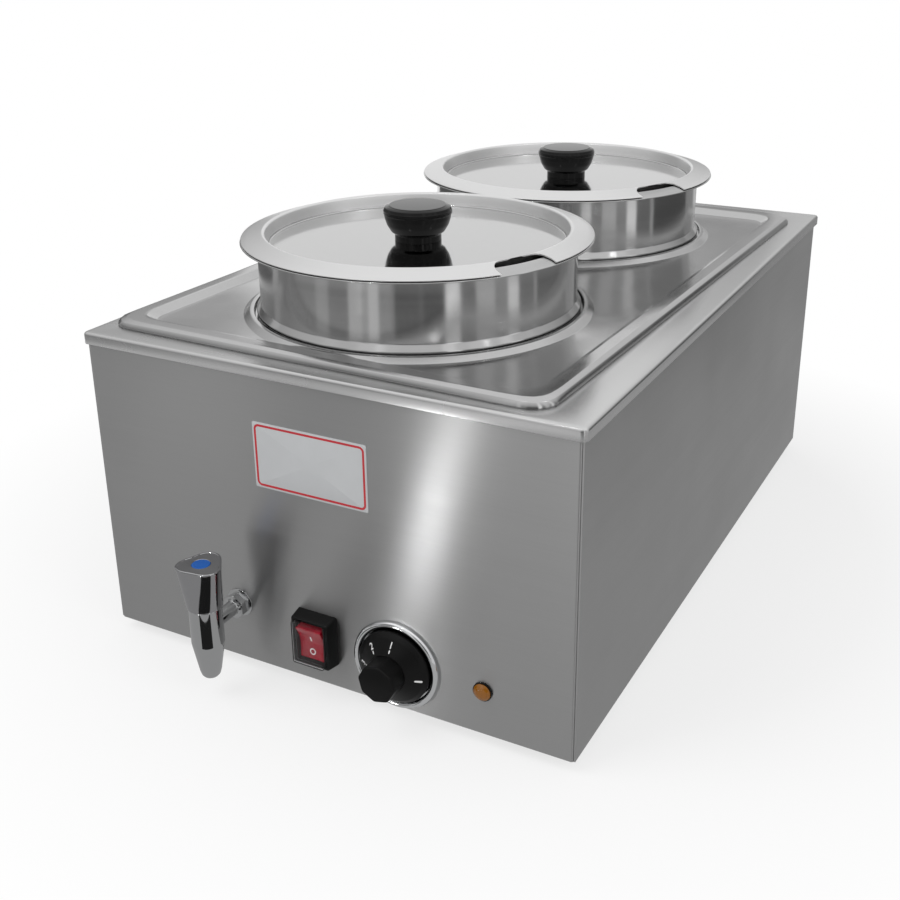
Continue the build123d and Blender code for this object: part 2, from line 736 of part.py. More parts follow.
def tap_spindle():
    """The spindle that turns with the handle."""
    seat = TAP_PIPE_Z + 2 * TAP_INLET_R
    top = HANDLE_TOP_Z - TAP_CAP_DEPTH - 2 * SCREW_HEAD
    spindle = upright(TAP_SPINDLE_R, TAP_X, TAP_Y, seat + LOOSE, top)
    return spindle - upright(SCREW_R + FIT, TAP_X, TAP_Y, top - SCREW_LENGTH, top + 1)


def lobed(radius, lobe, z):
    """A smooth closed outline with three lobes, at one level."""
    steps = 36
    turn = math.radians(TAP_HANDLE_TURN)
    points = []
    for step in range(steps):
        angle = 2 * math.pi * step / steps
        reach = radius + lobe * math.cos(3 * (angle - turn))
        points.append((reach * math.cos(angle), reach * math.sin(angle), z))
    return make_face(Spline(*points, periodic=True))


def tap_handle():
    """The three-lobed handle, hollow under its skirt."""
    handle = loft([
        lobed(TAP_HANDLE_LOW_R, 0.02, HANDLE_Z),
        lobed(TAP_HANDLE_TOP_R, TAP_HANDLE_LOBE, HANDLE_TOP_Z),
    ])
    handle = Pos(TAP_X, TAP_Y, 0) * handle
    cap_z = HANDLE_TOP_Z - TAP_CAP_DEPTH
    handle -= upright(TAP_CAP_R + SNUG, TAP_X, TAP_Y, cap_z, HANDLE_TOP_Z + 1)
    handle -= upright(SCREW_HEAD_R + LOOSE, TAP_X, TAP_Y, cap_z - 2 * SCREW_HEAD, cap_z)
    handle -= upright(TAP_SPINDLE_R + FIT, TAP_X, TAP_Y, TAP_BONNET_TOP, cap_z - SCREW_HEAD)
    handle -= upright(TAP_BONNET_R + LOOSE, TAP_X, TAP_Y, HANDLE_Z - 1, TAP_BONNET_TOP + LOOSE)
    return handle


def tap_cap():
    """The coloured disc in the handle's top."""
    cap = upright(TAP_CAP_R, TAP_X, TAP_Y, HANDLE_TOP_Z - TAP_CAP_DEPTH, HANDLE_TOP_Z - 0.1)
    return fillet(cap.edges().sort_by(Axis.Z)[-1], 0.5)


def tap_screw():
    """The screw that holds the handle on its spindle."""
    seat = HANDLE_TOP_Z - TAP_CAP_DEPTH - 2 * SCREW_HEAD
    head = upright(SCREW_HEAD_R, TAP_X, TAP_Y, seat, seat + SCREW_HEAD)
    return head + upright(SCREW_R, TAP_X, TAP_Y, seat - SCREW_LENGTH + 1, seat)


def drain_elbow():
    """The flanged drain under the well, turned forward to the tap."""
    low = TAP_PIPE_Z - DRAIN_SHANK_R
    elbow = upright(DRAIN_SHANK_R, TAP_X, DRAIN_Y, low, WELL_FLOOR_Z)
    elbow += upright(DRAIN_FLANGE_R, TAP_X, DRAIN_Y, WELL_FLOOR_Z, WELL_FLOOR_Z + DRAIN_FLANGE)
    elbow += level(TAP_TAIL_R, TAP_X, TAP_PIPE_Z, DRAIN_Y - DRAIN_STUB, DRAIN_Y)
    elbow -= upright(DRAIN_BORE_R, TAP_X, DRAIN_Y, TAP_PIPE_Z, WELL_FLOOR_Z + 2 * DRAIN_FLANGE)
    return elbow - level(TAP_INLET_R, TAP_X, TAP_PIPE_Z, DRAIN_Y - DRAIN_STUB - 1, DRAIN_Y)


def drain_nut():
    """The nut that draws the drain against the well's floor."""
    nut = hexagon(DRAIN_NUT_R, TAP_X, DRAIN_Y, WELL_UNDER_Z - DRAIN_NUT, WELL_UNDER_Z)
    return nut - upright(DRAIN_SHANK_R + FIT, TAP_X, DRAIN_Y, BASE_Z, WELL_FLOOR_Z)


def hose_span():
    """Where the drain hose starts and ends."""
    return PANEL_Y + TAP_TAIL - HOSE_OVERLAP, DRAIN_Y - DRAIN_STUB + HOSE_OVERLAP


def drain_hose():
    """The short hose between the tap's tail and the drain."""
    start, end = hose_span()
    hose = level(TAP_TAIL_R + SNUG + HOSE_WALL, TAP_X, TAP_PIPE_Z, start, end)
    return hose - level(TAP_TAIL_R + SNUG, TAP_X, TAP_PIPE_Z, start - 1, end + 1)


def hose_clips():
    """A band and its ears round each end of the hose."""
    start, end = hose_span()
    inner = TAP_TAIL_R + 2 * SNUG + HOSE_WALL
    outer = inner + CLIP_THICKNESS
    group = []
    for y in (start + CLIP_WIDTH / 2 + 1, end - CLIP_WIDTH / 2 - 1):
        low, high = y - CLIP_WIDTH / 2, y + CLIP_WIDTH / 2
        clip = level(outer, TAP_X, TAP_PIPE_Z, low, high)
        clip += block(TAP_X - 3, TAP_X + 3, low, high, TAP_PIPE_Z - outer - 4, TAP_PIPE_Z - inner)
        clip -= level(inner, TAP_X, TAP_PIPE_Z, low - 1, high + 1)
        group.append(clip)
    return group


def thermostat_screw_xs():
    """The two screws beside the thermostat's shaft."""
    return [DIAL_X - THERMOSTAT_SCREW_PITCH / 2, DIAL_X + THERMOSTAT_SCREW_PITCH / 2]


def thermostat_body():
    """The switch box of the thermostat behind the panel."""
    half_x = THERMOSTAT_WIDTH / 2
    half_z = THERMOSTAT_HEIGHT / 2
    back = PANEL_BACK_Y + THERMOSTAT_DEPTH
    body = block(
        DIAL_X - half_x, DIAL_X + half_x, PANEL_BACK_Y, back, DIAL_Z - half_z, DIAL_Z + half_z
    )
    body = chamfer(body.edges().filter_by(Axis.Y), 2)
    for z in (DIAL_Z - half_z / 2, DIAL_Z + half_z / 2):
        body += block(DIAL_X - TAB_WIDTH / 2, DIAL_X + TAB_WIDTH / 2, back, back + TAB_LENGTH,
                      z - TAB_SHEET / 2, z + TAB_SHEET / 2)
    body -= level(SHAFT_R + FIT, DIAL_X, DIAL_Z, 0, PANEL_BACK_Y + SHAFT_BACK)
    for x in thermostat_screw_xs():
        body -= level(SCREW_R + FIT, x, DIAL_Z, 0, PANEL_BACK_Y + SCREW_LENGTH)
    return body


def thermostat_shaft():
    """The flatted shaft that the dial turns."""
    front = PANEL_Y - SHAFT_REACH
    shaft = level(SHAFT_R, DIAL_X, DIAL_Z, front, PANEL_BACK_Y + SHAFT_BACK - LOOSE)
    flat = block(
        DIAL_X - SHAFT_R, DIAL_X + SHAFT_R, front, front + 12,
        DIAL_Z + SHAFT_R / 2, DIAL_Z + 2 * SHAFT_R,
    )
    return shaft - flat


def thermostat_screws():
    """The screws through bezel and panel into the thermostat."""
    group = []
    front = PANEL_Y - BEZEL_DISC
    for x in thermostat_screw_xs():
        screw = level(SCREW_HEAD_R, x, DIAL_Z, front - THERMOSTAT_SCREW_HEAD, front)
        screw += level(SCREW_R, x, DIAL_Z, front, PANEL_BACK_Y + SCREW_LENGTH - 1)
        group.append(screw)
    return group


def thermostat_bezel():
    """The bright ring round the dial, with the disc that the screws hold."""
    middle = (BEZEL_R + BEZEL_INNER_R) / 2
    half = (BEZEL_R - BEZEL_INNER_R) / 2
    ring = Polyline(
        (0, 0), (BEZEL_R, 0), (BEZEL_R, BEZEL_RISE - half)
    ) + ThreePointArc(
        (BEZEL_R, BEZEL_RISE - half), (middle, BEZEL_RISE), (BEZEL_INNER_R, BEZEL_RISE - half)
    ) + Polyline(
        (BEZEL_INNER_R, BEZEL_RISE - half), (BEZEL_INNER_R - 0.4, BEZEL_DISC), (0, BEZEL_DISC), (0, 0)
    )
    bezel = revolve(Plane.XZ * make_face(ring), axis=Axis.Z)
    bezel -= Cylinder(SHAFT_R + HOLE_CLEARANCE, 4 * BEZEL_RISE)
    for side in (-1, 1):
        spot = Pos(side * THERMOSTAT_SCREW_PITCH / 2, 0, 0)
        bezel -= spot * Cylinder(SCREW_R + HOLE_CLEARANCE, 4 * BEZEL_RISE)
    return facing(bezel, DIAL_X, PANEL_Y, DIAL_Z)


def thermostat_knob():
    """The dial: domed skirt, eight-sided grip and a bore for the shaft."""
    dome = turned([
        (0, SKIRT_GAP),
        (SKIRT_R, SKIRT_GAP),
        (SKIRT_R, SKIRT_GAP + SKIRT_EDGE),
        (SKIRT_R - 3.2, SKIRT_GAP + SKIRT_EDGE + 2.6),
        (GRIP_R, SKIRT_RISE),
        (0, SKIRT_RISE),
    ])
    inner_r = SKIRT_R - KNOB_SHELL
    hollow = turned([
        (SHAFT_R + KNOB_SHELL, 0),
        (inner_r, 0),
        (inner_r, SKIRT_GAP + SKIRT_EDGE - 0.6),
        (inner_r - 3.2, SKIRT_GAP + SKIRT_EDGE + 1.4),
        (GRIP_R - KNOB_SHELL, SKIRT_RISE - KNOB_SHELL),
        (SHAFT_R + KNOB_SHELL, SKIRT_RISE - KNOB_SHELL),
    ])
    grip = Rot(0, 0, GRIP_TURN) * extrude(RegularPolygon(GRIP_R, GRIP_SIDES), GRIP_REACH)
    grip = chamfer(grip.edges().group_by(Axis.Z)[-1], 0.6)
    grip -= Pos(0, 0, SKIRT_GAP) * Box(4 * GRIP_R, 4 * GRIP_R, SKIRT_RISE)
    knob = dome - hollow + grip
    knob -= Cylinder(SHAFT_R + FIT, 2 * (SHAFT_REACH + LOOSE))
    return facing(knob, DIAL_X, PANEL_Y, DIAL_Z)


def switch_frame():
    """The proud frame of the switch, drawn in a little towards the front."""
    outline = RectangleRounded(SWITCH_WIDTH, SWITCH_HEIGHT, 1.5)
    return facing(extrude(outline, SWITCH_RISE, taper=SWITCH_TAPER), SWITCH_X, PANEL_Y, SWITCH_Z)


def switch_housing():
    """The frame in front of the panel and the box behind it, as one moulding."""
    half_x = SWITCH_BODY_WIDTH / 2
    half_z = SWITCH_BODY_HEIGHT / 2
    back = PANEL_Y + SWITCH_BODY_DEPTH
    housing = switch_frame() + block(
        SWITCH_X - half_x, SWITCH_X + half_x, PANEL_Y, back, SWITCH_Z - half_z, SWITCH_Z + half_z
    )
    gap_x = ROCKER_WIDTH / 2 + ROCKER_SIDE_GAP
    gap_z = ROCKER_HEIGHT / 2 + ROCKER_END_GAP
    housing -= block(
        SWITCH_X - gap_x, SWITCH_X + gap_x, PANEL_Y - 2 * SWITCH_RISE, back - 2 * SHEET,
        SWITCH_Z - gap_z, SWITCH_Z + gap_z,
    )
    return housing - rocker_pin(ROCKER_PIVOT_R + FIT, FIT + SNUG)


def rocker_pin(radius, extra):
    """The pin line of the rocker, a little longer by the extra."""
    reach = ROCKER_WIDTH / 2 + ROCKER_PIVOT_LENGTH + extra
    middle = Pos(SWITCH_X, PANEL_Y - ROCKER_PIVOT_DEPTH, SWITCH_Z)
    return middle * Rot(0, 90, 0) * Cylinder(radius, 2 * reach)


def switch_rocker():
    """The rocker at rest, tipped to its off side."""
    half = ROCKER_HEIGHT / 2
    end = ROCKER_DIP + half * math.tan(math.radians(ROCKER_TILT))
    outline = Polyline(
        (-half, end), (0, ROCKER_DIP), (half, end),
        (half - 0.8, ROCKER_PIVOT_DEPTH), (half / 2, -ROCKER_BACK),
        (-half / 2, -ROCKER_BACK), (1 - half, ROCKER_PIVOT_DEPTH), close=True,
    )
    side = extrude(make_face(outline), ROCKER_WIDTH / 2, both=True)
    rocker = Plane((SWITCH_X, PANEL_Y, SWITCH_Z), x_dir=(0, 0, 1), z_dir=(1, 0, 0)) * side
    rocker += rocker_pin(ROCKER_PIVOT_R, 0)
    pivot = Axis((SWITCH_X, PANEL_Y - ROCKER_PIVOT_DEPTH, SWITCH_Z), (1, 0, 0))
    return rocker.rotate(pivot, ROCKER_TILT)


def switch_cover():
    """The clear hood over the rocker."""
    outer = extrude(RectangleRounded(COVER_WIDTH, COVER_HEIGHT, 1.5), COVER_RISE)
    inner = extrude(
        RectangleRounded(COVER_WIDTH - 2 * COVER_WALL, COVER_HEIGHT - 2 * COVER_WALL, 0.7),
        COVER_RISE - COVER_WALL,
    )
    outer = fillet(outer.edges().group_by(Axis.Z)[-1], 0.6)
    return facing(outer - inner, SWITCH_X, PANEL_Y - SWITCH_RISE, SWITCH_Z)


def switch_terminals():
    """Four blades at the back of the switch."""
    back = PANEL_Y + SWITCH_BODY_DEPTH
    group = []
    for x in (SWITCH_X - SWITCH_BODY_WIDTH / 4, SWITCH_X + SWITCH_BODY_WIDTH / 4):
        for z in (SWITCH_Z - SWITCH_BODY_HEIGHT / 4, SWITCH_Z + SWITCH_BODY_HEIGHT / 4):
            group.append(block(
                x - TAB_SHEET / 2, x + TAB_SHEET / 2, back, back + TAB_LENGTH,
                z - TAB_WIDTH / 2, z + TAB_WIDTH / 2,
            ))
    return group


def lamp_lens():
    """The domed lens of the signal lamp."""
    rise = LAMP_LENS_RISE - LAMP_RING
    ball = (LAMP_LENS_R**2 + rise**2) / (2 * rise)
    half_angle = math.asin(LAMP_LENS_R / ball) / 2
    middle = (ball * math.sin(half_angle), LAMP_LENS_RISE - ball + ball * math.cos(half_angle))
    dome = ThreePointArc((LAMP_LENS_R, LAMP_RING), middle, (0, LAMP_LENS_RISE))
    rest = Polyline(dome @ 1, (0, LAMP_SEAT), (LAMP_LENS_R, LAMP_SEAT), dome @ 0)
    lens = revolve(Plane.XZ * make_face(dome + rest), axis=Axis.Z)
    return facing(lens, LAMP_X, PANEL_Y, LAMP_Z)


def lamp_body():
    """The cup round the lens and the threaded barrel behind the panel."""
    back = PANEL_Y + LAMP_BODY
    body = level(LAMP_RING_R, LAMP_X, LAMP_Z, PANEL_Y - LAMP_RING, PANEL_Y)
    body -= level(LAMP_LENS_R + SNUG, LAMP_X, LAMP_Z, PANEL_Y - 2 * LAMP_RING, PANEL_Y - LAMP_SEAT)
    body += level(LAMP_BODY_R, LAMP_X, LAMP_Z, PANEL_Y, back)
    for x in (LAMP_X - LAMP_BODY_R / 2, LAMP_X + LAMP_BODY_R / 2):
        body += block(x - TAB_SHEET / 2, x + TAB_SHEET / 2, back, back + TAB_LENGTH,
                      LAMP_Z - 1.4, LAMP_Z + 1.4)
    return body


def lamp_nut():
    """The nut behind the panel."""
    nut = hexagon_level(LAMP_NUT_R, LAMP_X, LAMP_Z, PANEL_BACK_Y, PANEL_BACK_Y + LAMP_NUT)
    return nut - level(LAMP_BODY_R + FIT, LAMP_X, LAMP_Z, PANEL_Y, PANEL_Y + LAMP_BODY)


def label_plate():
    """The plain plate on the front."""
    plate = extrude(RectangleRounded(LABEL_WIDTH, LABEL_HEIGHT, LABEL_CORNER), LABEL_SHEET)
    return facing(plate, LABEL_X, PANEL_Y, LABEL_Z)


def heating_element():
    """The folded heating tube under the well and its two terminal pins."""
    line = [
        (ELEMENT_OUTER_X, ELEMENT_START, ELEMENT_Z),
        (ELEMENT_OUTER_X, ELEMENT_BACK, ELEMENT_Z),
        (ELEMENT_INNER_X, ELEMENT_BACK, ELEMENT_Z),
        (ELEMENT_INNER_X, ELEMENT_FRONT, ELEMENT_Z),
        (-ELEMENT_INNER_X, ELEMENT_FRONT, ELEMENT_Z),
        (-ELEMENT_INNER_X, ELEMENT_BACK, ELEMENT_Z),
        (-ELEMENT_OUTER_X, ELEMENT_BACK, ELEMENT_Z),
        (-ELEMENT_OUTER_X, ELEMENT_START, ELEMENT_Z),
    ]
    group = [tube(line, ELEMENT_BEND, ELEMENT_R)]
    for x in (-ELEMENT_OUTER_X, ELEMENT_OUTER_X):
        group.append(level(PIN_R, x, ELEMENT_Z, ELEMENT_START - PIN_LENGTH, ELEMENT_START))
    return group


def clamp_rows():
    """The rows where clamps cross the heating tube."""
    return [CLAMP_FIRST_Y + CLAMP_PITCH * row for row in range(CLAMP_STATIONS)]


def stud_spots():
    """The studs under the well, two to a row."""
    across = CLAMP_HALF_SPAN - CLAMP_WIDTH / 2
    return [(x, y) for y in clamp_rows() for x in (-across, across)]


def element_clamps():
    """Flat bars that press the heating tube to the well."""
    group = []
    for y in clamp_rows():
        bar = block(
            -CLAMP_HALF_SPAN, CLAMP_HALF_SPAN, y - CLAMP_WIDTH / 2, y + CLAMP_WIDTH / 2,
            CLAMP_TOP_Z - CLAMP_SHEET, CLAMP_TOP_Z,
        )
        for x, spot_y in stud_spots():
            if spot_y == y:
                bar -= upright(STUD_R + SNUG, x, y, 0, WELL_UNDER_Z)
        group.append(bar)
    return group


def well_studs():
    """Studs welded under the well."""
    low = SHIELD_Z - SHEET - NUT_HEIGHT - 2
    return [upright(STUD_R, x, y, low, WELL_UNDER_Z) for x, y in stud_spots()]


def stud_nuts(top):
    """A nut on each stud, its upper face at the level given."""
    group = []
    for x, y in stud_spots():
        nut = hexagon(NUT_R, x, y, top - NUT_HEIGHT, top)
        group.append(nut - upright(STUD_R + FIT, x, y, 0, WELL_UNDER_Z))
    return group


def heat_shield():
    """The tray under the heating tube, its sides turned up."""
    shield = block(
        -SHIELD_HALF_WIDTH, SHIELD_HALF_WIDTH, SHIELD_FRONT, SHIELD_BACK,
        SHIELD_Z - SHEET, SHIELD_Z + SHIELD_FLANGE,
    )
    shield -= block(
        SHEET - SHIELD_HALF_WIDTH, SHIELD_HALF_WIDTH - SHEET, 0, DECK_DEPTH, SHIELD_Z, WELL_UNDER_Z
    )
    for x, y in stud_spots():
        shield -= upright(STUD_R + SNUG, x, y, 0, WELL_UNDER_Z)
    return shield


def sensing_bulb():
    """The thermostat's bulb under the well."""
    middle = Pos(BULB_X, BULB_Y, WELL_UNDER_Z - ELEMENT_GAP - BULB_R)
    return middle * Rot(0, 90, 0) * Cylinder(BULB_R, BULB_LENGTH)


def bulb_clips():
    """Two straps welded under the well that hold the bulb."""
    group = []
    middle_z = WELL_UNDER_Z - ELEMENT_GAP - BULB_R
    inner = BULB_R + ELEMENT_GAP
    for x in (BULB_X - BULB_LENGTH / 4, BULB_X + BULB_LENGTH / 4):
        low, high = x - 4, x + 4
        strap = block(low, high, BULB_Y - inner - SHEET, BULB_Y + inner + SHEET,
                      middle_z - inner - SHEET, WELL_UNDER_Z)
        strap += block(low, high, BULB_Y - inner - 7, BULB_Y + inner + 7,
                       WELL_UNDER_Z - SHEET, WELL_UNDER_Z)
        strap -= block(low - 1, high + 1, BULB_Y - inner, BULB_Y + inner,
                       middle_z - inner, WELL_UNDER_Z + 1)
        group.append(strap)
    return group


def capillary_tube():
    """The fine tube from the thermostat to its bulb."""
    bulb_z = WELL_UNDER_Z - ELEMENT_GAP - BULB_R
    bulb_end = BULB_X + BULB_LENGTH / 2
    top = DIAL_Z + THERMOSTAT_HEIGHT / 2
    y = PANEL_BACK_Y + THERMOSTAT_DEPTH / 2
    out = bulb_end + 3 * CAPILLARY_BEND
    line = [
        (DIAL_X + 5, y, top),
        (DIAL_X + 5, y, bulb_z),
        (out, BULB_Y - 3 * CAPILLARY_BEND, bulb_z),
        (out, BULB_Y, bulb_z),
        (bulb_end, BULB_Y, bulb_z),
    ]
    return tube(line, CAPILLARY_BEND / 2, CAPILLARY_R)


def overheat_cutout():
    """The safety cut-out pressed under the well."""
    cutout = upright(CUTOUT_R, CUTOUT_X, CUTOUT_Y, WELL_UNDER_Z - CUTOUT_HEIGHT, WELL_UNDER_Z)
    cutout += upright(CUTOUT_FLANGE_R, CUTOUT_X, CUTOUT_Y, WELL_UNDER_Z - SHEET, WELL_UNDER_Z)
    low = WELL_UNDER_Z - CUTOUT_HEIGHT
    for x in (CUTOUT_X - CUTOUT_R / 2, CUTOUT_X + CUTOUT_R / 2):
        cutout += block(x - TAB_SHEET / 2, x + TAB_SHEET / 2, CUTOUT_Y - TAB_WIDTH / 2,
                        CUTOUT_Y + TAB_WIDTH / 2, low - TAB_LENGTH, low)
    return cutout


def cable_gland():
    """The gland in the back wall, with the bore for the mains cord."""
    nose = turned([
        (0, 0), (GLAND_COLLAR_R, 0), (GLAND_COLLAR_R, GLAND_COLLAR - 1),
        (GLAND_COLLAR_R - 1, GLAND_COLLAR), (GLAND_SLEEVE_R, GLAND_COLLAR),
        (GLAND_NOSE_R, GLAND_COLLAR + GLAND_NOSE - 1),
        (GLAND_NOSE_R - 1, GLAND_COLLAR + GLAND_NOSE), (0, GLAND_COLLAR + GLAND_NOSE),
    ])
    gland = nose + Pos(0, 0, -GLAND_INSIDE / 2) * Cylinder(GLAND_SLEEVE_R, GLAND_INSIDE)
    gland -= Cylinder(GLAND_BORE_R, 4 * (GLAND_NOSE + GLAND_INSIDE))
    return Pos(GLAND_X, BACK_Y, GLAND_Z) * Rot(-90, 0, 0) * gland


def gland_nut():
    """The nut on the gland inside the casing."""
    inside = BACK_Y - SHEET
    nut = hexagon_level(GLAND_COLLAR_R + 1, GLAND_X, GLAND_Z, inside - GLAND_NUT, inside)
    return nut - level(GLAND_SLEEVE_R + FIT, GLAND_X, GLAND_Z, inside - 2 * GLAND_NUT, BACK_Y)


def block_pole_xs():
    """The poles of the terminal block."""
    pitch = BLOCK_WIDTH / BLOCK_POLES
    return [BLOCK_X + pitch * (pole - (BLOCK_POLES - 1) / 2) for pole in range(BLOCK_POLES)]


def terminal_block():
    """The three-pole block on the floor, bored for its wires and screws."""
    top = WALL_Z + BLOCK_HEIGHT
    body = block(
        BLOCK_X - BLOCK_WIDTH / 2, BLOCK_X + BLOCK_WIDTH / 2,
        BLOCK_Y - BLOCK_DEPTH / 2, BLOCK_Y + BLOCK_DEPTH / 2, WALL_Z, top,
    )
    body = chamfer(body.edges().group_by(Axis.Z)[-1], 1)
    for x in block_pole_xs():
        body -= level(WIRE_R + SNUG, x, WALL_Z + BLOCK_HEIGHT / 2, 0, DECK_DEPTH)
        for y in (BLOCK_Y - BLOCK_DEPTH / 4, BLOCK_Y + BLOCK_DEPTH / 4):
            body -= upright(SCREW_R, x, y, top - 4, top + 1)
    return body


def earth_stud():
    """The earth stud on the floor and its nut."""
    stud = upright(STUD_R, EARTH_X, BLOCK_Y, BASE_Z - 1, WALL_Z + EARTH_LENGTH)
    stud += upright(NUT_R, EARTH_X, BLOCK_Y, BASE_Z - 1.5, BASE_Z)
    nut = hexagon(NUT_R, EARTH_X, BLOCK_Y, WALL_Z, WALL_Z + NUT_HEIGHT)
    nut -= upright(STUD_R + FIT, EARTH_X, BLOCK_Y, 0, DECK_Z)
    return [stud, nut]


def supply_wires():
    """The wires from the terminal block forward to the switch."""
    z = WALL_Z + BLOCK_HEIGHT / 2
    step = 2 * WIRE_R + WIRE_GAP
    start = BLOCK_Y - BLOCK_DEPTH / 4
    tab_end = PANEL_Y + SWITCH_BODY_DEPTH + TAB_LENGTH
    tab_z = SWITCH_Z - SWITCH_BODY_HEIGHT / 4
    bends = [WIRE_BEND, WIRE_BEND, WIRE_BEND, WIRE_BEND / 2, WIRE_BEND / 2]
    group = []
    for pole, x in enumerate(block_pole_xs()[1:]):
        lane = BLOCK_X + BLOCK_WIDTH + WIRE_BEND + pole * step
        near = tab_end + 2 * WIRE_BEND - pole * step
        turn = start - 2 * WIRE_BEND - (BLOCK_POLES - pole) * step
        tab_x = SWITCH_X + (0.5 - pole) * SWITCH_BODY_WIDTH / 2
        line = [
            (x, start, z), (x, turn, z), (lane, turn - 3 * WIRE_BEND, z),
            (lane, near, z), (tab_x, near, z), (tab_x, near, tab_z), (tab_x, tab_end, tab_z),
        ]
        group.append(tube(line, bends, WIRE_R))
    return group


POT_NAMES = ["front", "rear"]
NOTCH_ANGLES = [NOTCH_ANGLE_FRONT, NOTCH_ANGLE_REAR]

nodes = {
    "front_panel": front_panel(),
    "side_panels": side_panels(),
    "back_panel": back_panel(),
    "top_deck": top_deck(),
    "water_well": water_well(),
    "base_plate": base_plate(),
    "feet": feet(),
    "foot_screws": foot_screws(),
    "foot_nuts": foot_nuts(),
    "base_screws": base_screws(),
    "adapter_plate": adapter_plate(),
    "tap_body": tap_body(),
    "tap_inlet_pipe": tap_inlet_pipe(),
    "tap_washer": tap_washer(),
    "tap_back_nut": tap_back_nut(),
    "tap_spindle": tap_spindle(),
    "tap_handle": tap_handle(),
    "tap_cap": tap_cap(),
    "tap_screw": tap_screw(),
    "drain_elbow": drain_elbow(),
    "drain_nut": drain_nut(),
    "drain_hose": drain_hose(),
    "hose_clips": hose_clips(),
    "thermostat_body": thermostat_body(),
    "thermostat_shaft": thermostat_shaft(),
    "thermostat_screws": thermostat_screws(),
    "thermostat_bezel": thermostat_bezel(),
    "thermostat_knob": thermostat_knob(),
    "switch_housing": switch_housing(),
    "switch_rocker": switch_rocker(),
    "switch_cover": switch_cover(),
    "switch_terminals": switch_terminals(),
    "lamp_lens": lamp_lens(),
    "lamp_body": lamp_body(),
    "lamp_nut": lamp_nut(),
    "label_plate": label_plate(),
    "heating_element": heating_element(),
    "element_clamps": element_clamps(),
    "well_studs": well_studs(),
    "stud_nuts": stud_nuts(CLAMP_TOP_Z - CLAMP_SHEET) + stud_nuts(SHIELD_Z - SHEET),
    "heat_shield": heat_shield(),
    "sensing_bulb": sensing_bulb(),
    "bulb_clips": bulb_clips(),
    "capillary_tube": capillary_tube(),
    "overheat_cutout": overheat_cutout(),
    "cable_gland": cable_gland(),
    "gland_nut": gland_nut(),
    "terminal_block": terminal_block(),
    "earth_stud": earth_stud(),
    "supply_wires": supply_wires(),
}
for name, place, angle in zip(POT_NAMES, POT_PLACES, NOTCH_ANGLES):
    nodes["pot_" + name] = place * pot()
    nodes["lid_" + name] = place * lid(angle)
    nodes["lid_knob_" + name] = place * lid_knob()
    nodes["lid_washer_" + name] = place * lid_washer()
    nodes["lid_screw_" + name] = place * lid_screw()


def as_solids(shape):
    """The separate solids of a node, whether it was given as one shape or a list."""
    shapes = shape if isinstance(shape, list) else [shape]
    return [solid for item in shapes for solid in item.solids()]


groups = {name: as_solids(shape) for name, shape in nodes.items()}
boxes = [solid.bounding_box() for group in groups.values() for solid in group]
middle_y = (min(box.min.Y for box in boxes) + max(box.max.Y for box in boxes)) / 2
to_origin = Pos(0, -middle_y, 0)
for name, group in groups.items():
    moved = [to_origin * solid for solid in group]
    whole = moved[0] if len(moved) == 1 else Compound(children=moved)
    export_step(whole, os.path.join("parts", name + ".step"))
print("deck front edge at y", round(-middle_y, 3))
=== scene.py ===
"""The looks of a two-pot electric soup chafer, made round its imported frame."""

import json
import logging
import math
from collections.abc import Sequence
from dataclasses import dataclass
from enum import Enum

import bmesh
import bpy
import numpy as np
from mathutils import Euler, Matrix, Vector


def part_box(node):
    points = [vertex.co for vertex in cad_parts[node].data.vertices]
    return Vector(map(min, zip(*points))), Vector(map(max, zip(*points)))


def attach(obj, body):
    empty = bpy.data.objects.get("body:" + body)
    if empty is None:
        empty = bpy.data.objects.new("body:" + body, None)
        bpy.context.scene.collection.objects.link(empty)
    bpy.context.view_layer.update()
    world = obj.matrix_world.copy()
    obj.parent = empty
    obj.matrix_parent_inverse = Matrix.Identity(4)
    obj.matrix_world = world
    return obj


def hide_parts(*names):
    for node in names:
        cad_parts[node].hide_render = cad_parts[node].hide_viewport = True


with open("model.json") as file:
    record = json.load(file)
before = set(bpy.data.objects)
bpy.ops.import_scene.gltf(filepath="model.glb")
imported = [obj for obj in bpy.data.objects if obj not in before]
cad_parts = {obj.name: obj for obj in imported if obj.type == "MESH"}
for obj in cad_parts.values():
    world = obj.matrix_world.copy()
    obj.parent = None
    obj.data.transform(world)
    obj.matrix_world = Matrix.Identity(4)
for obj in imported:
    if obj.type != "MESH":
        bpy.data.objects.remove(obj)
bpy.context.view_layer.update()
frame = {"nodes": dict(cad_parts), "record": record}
LOG = logging.getLogger("soup_chafer")
MM = 0.001
TURN = 2.0 * math.pi
WELD = 2e-6

MIX_SHARE, MIX_LOW, MIX_HIGH, MIX_RESULT = 0, 6, 7, 2

Points = Sequence[tuple[float, float]]
Triple = tuple[float, float, float]
Four = tuple[float, float, float, float]


class Slot(Enum):
    """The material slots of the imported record."""

    CASING = "casing_steel"
    SATIN = "polished_steel"
    MIRROR = "mirror_steel"
    PHENOLIC = "black_phenolic"
    CHROMED = "chromed_brass"
    TRIM = "chrome_trim"
    BRASS = "bare_brass"
    ZINC = "zinc_steel"
    RUBBER = "foot_rubber"
    BLUE = "blue_plastic"
    SILICONE = "hose_silicone"
    CERAMIC = "ceramic_white"
    DIAL = "dial_plastic"
    NYLON = "switch_black"
    RED = "rocker_red"
    CLEAR = "clear_cover"
    AMBER = "amber_lens"
    LABEL = "label_face"
    SHEATH = "element_sheath"
    ALUMINIUM = "shield_aluminium"
    COPPER = "copper_bulb"
    WIRE = "wire_insulation"


def node_box(node: str) -> tuple[np.ndarray, np.ndarray]:
    """A CAD node's lowest and highest corner.

    Args:
        node: the node's name.

    Returns:
        The two corners in millimetres.
    """
    low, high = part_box(node)
    return np.array(low) / MM, np.array(high) / MM


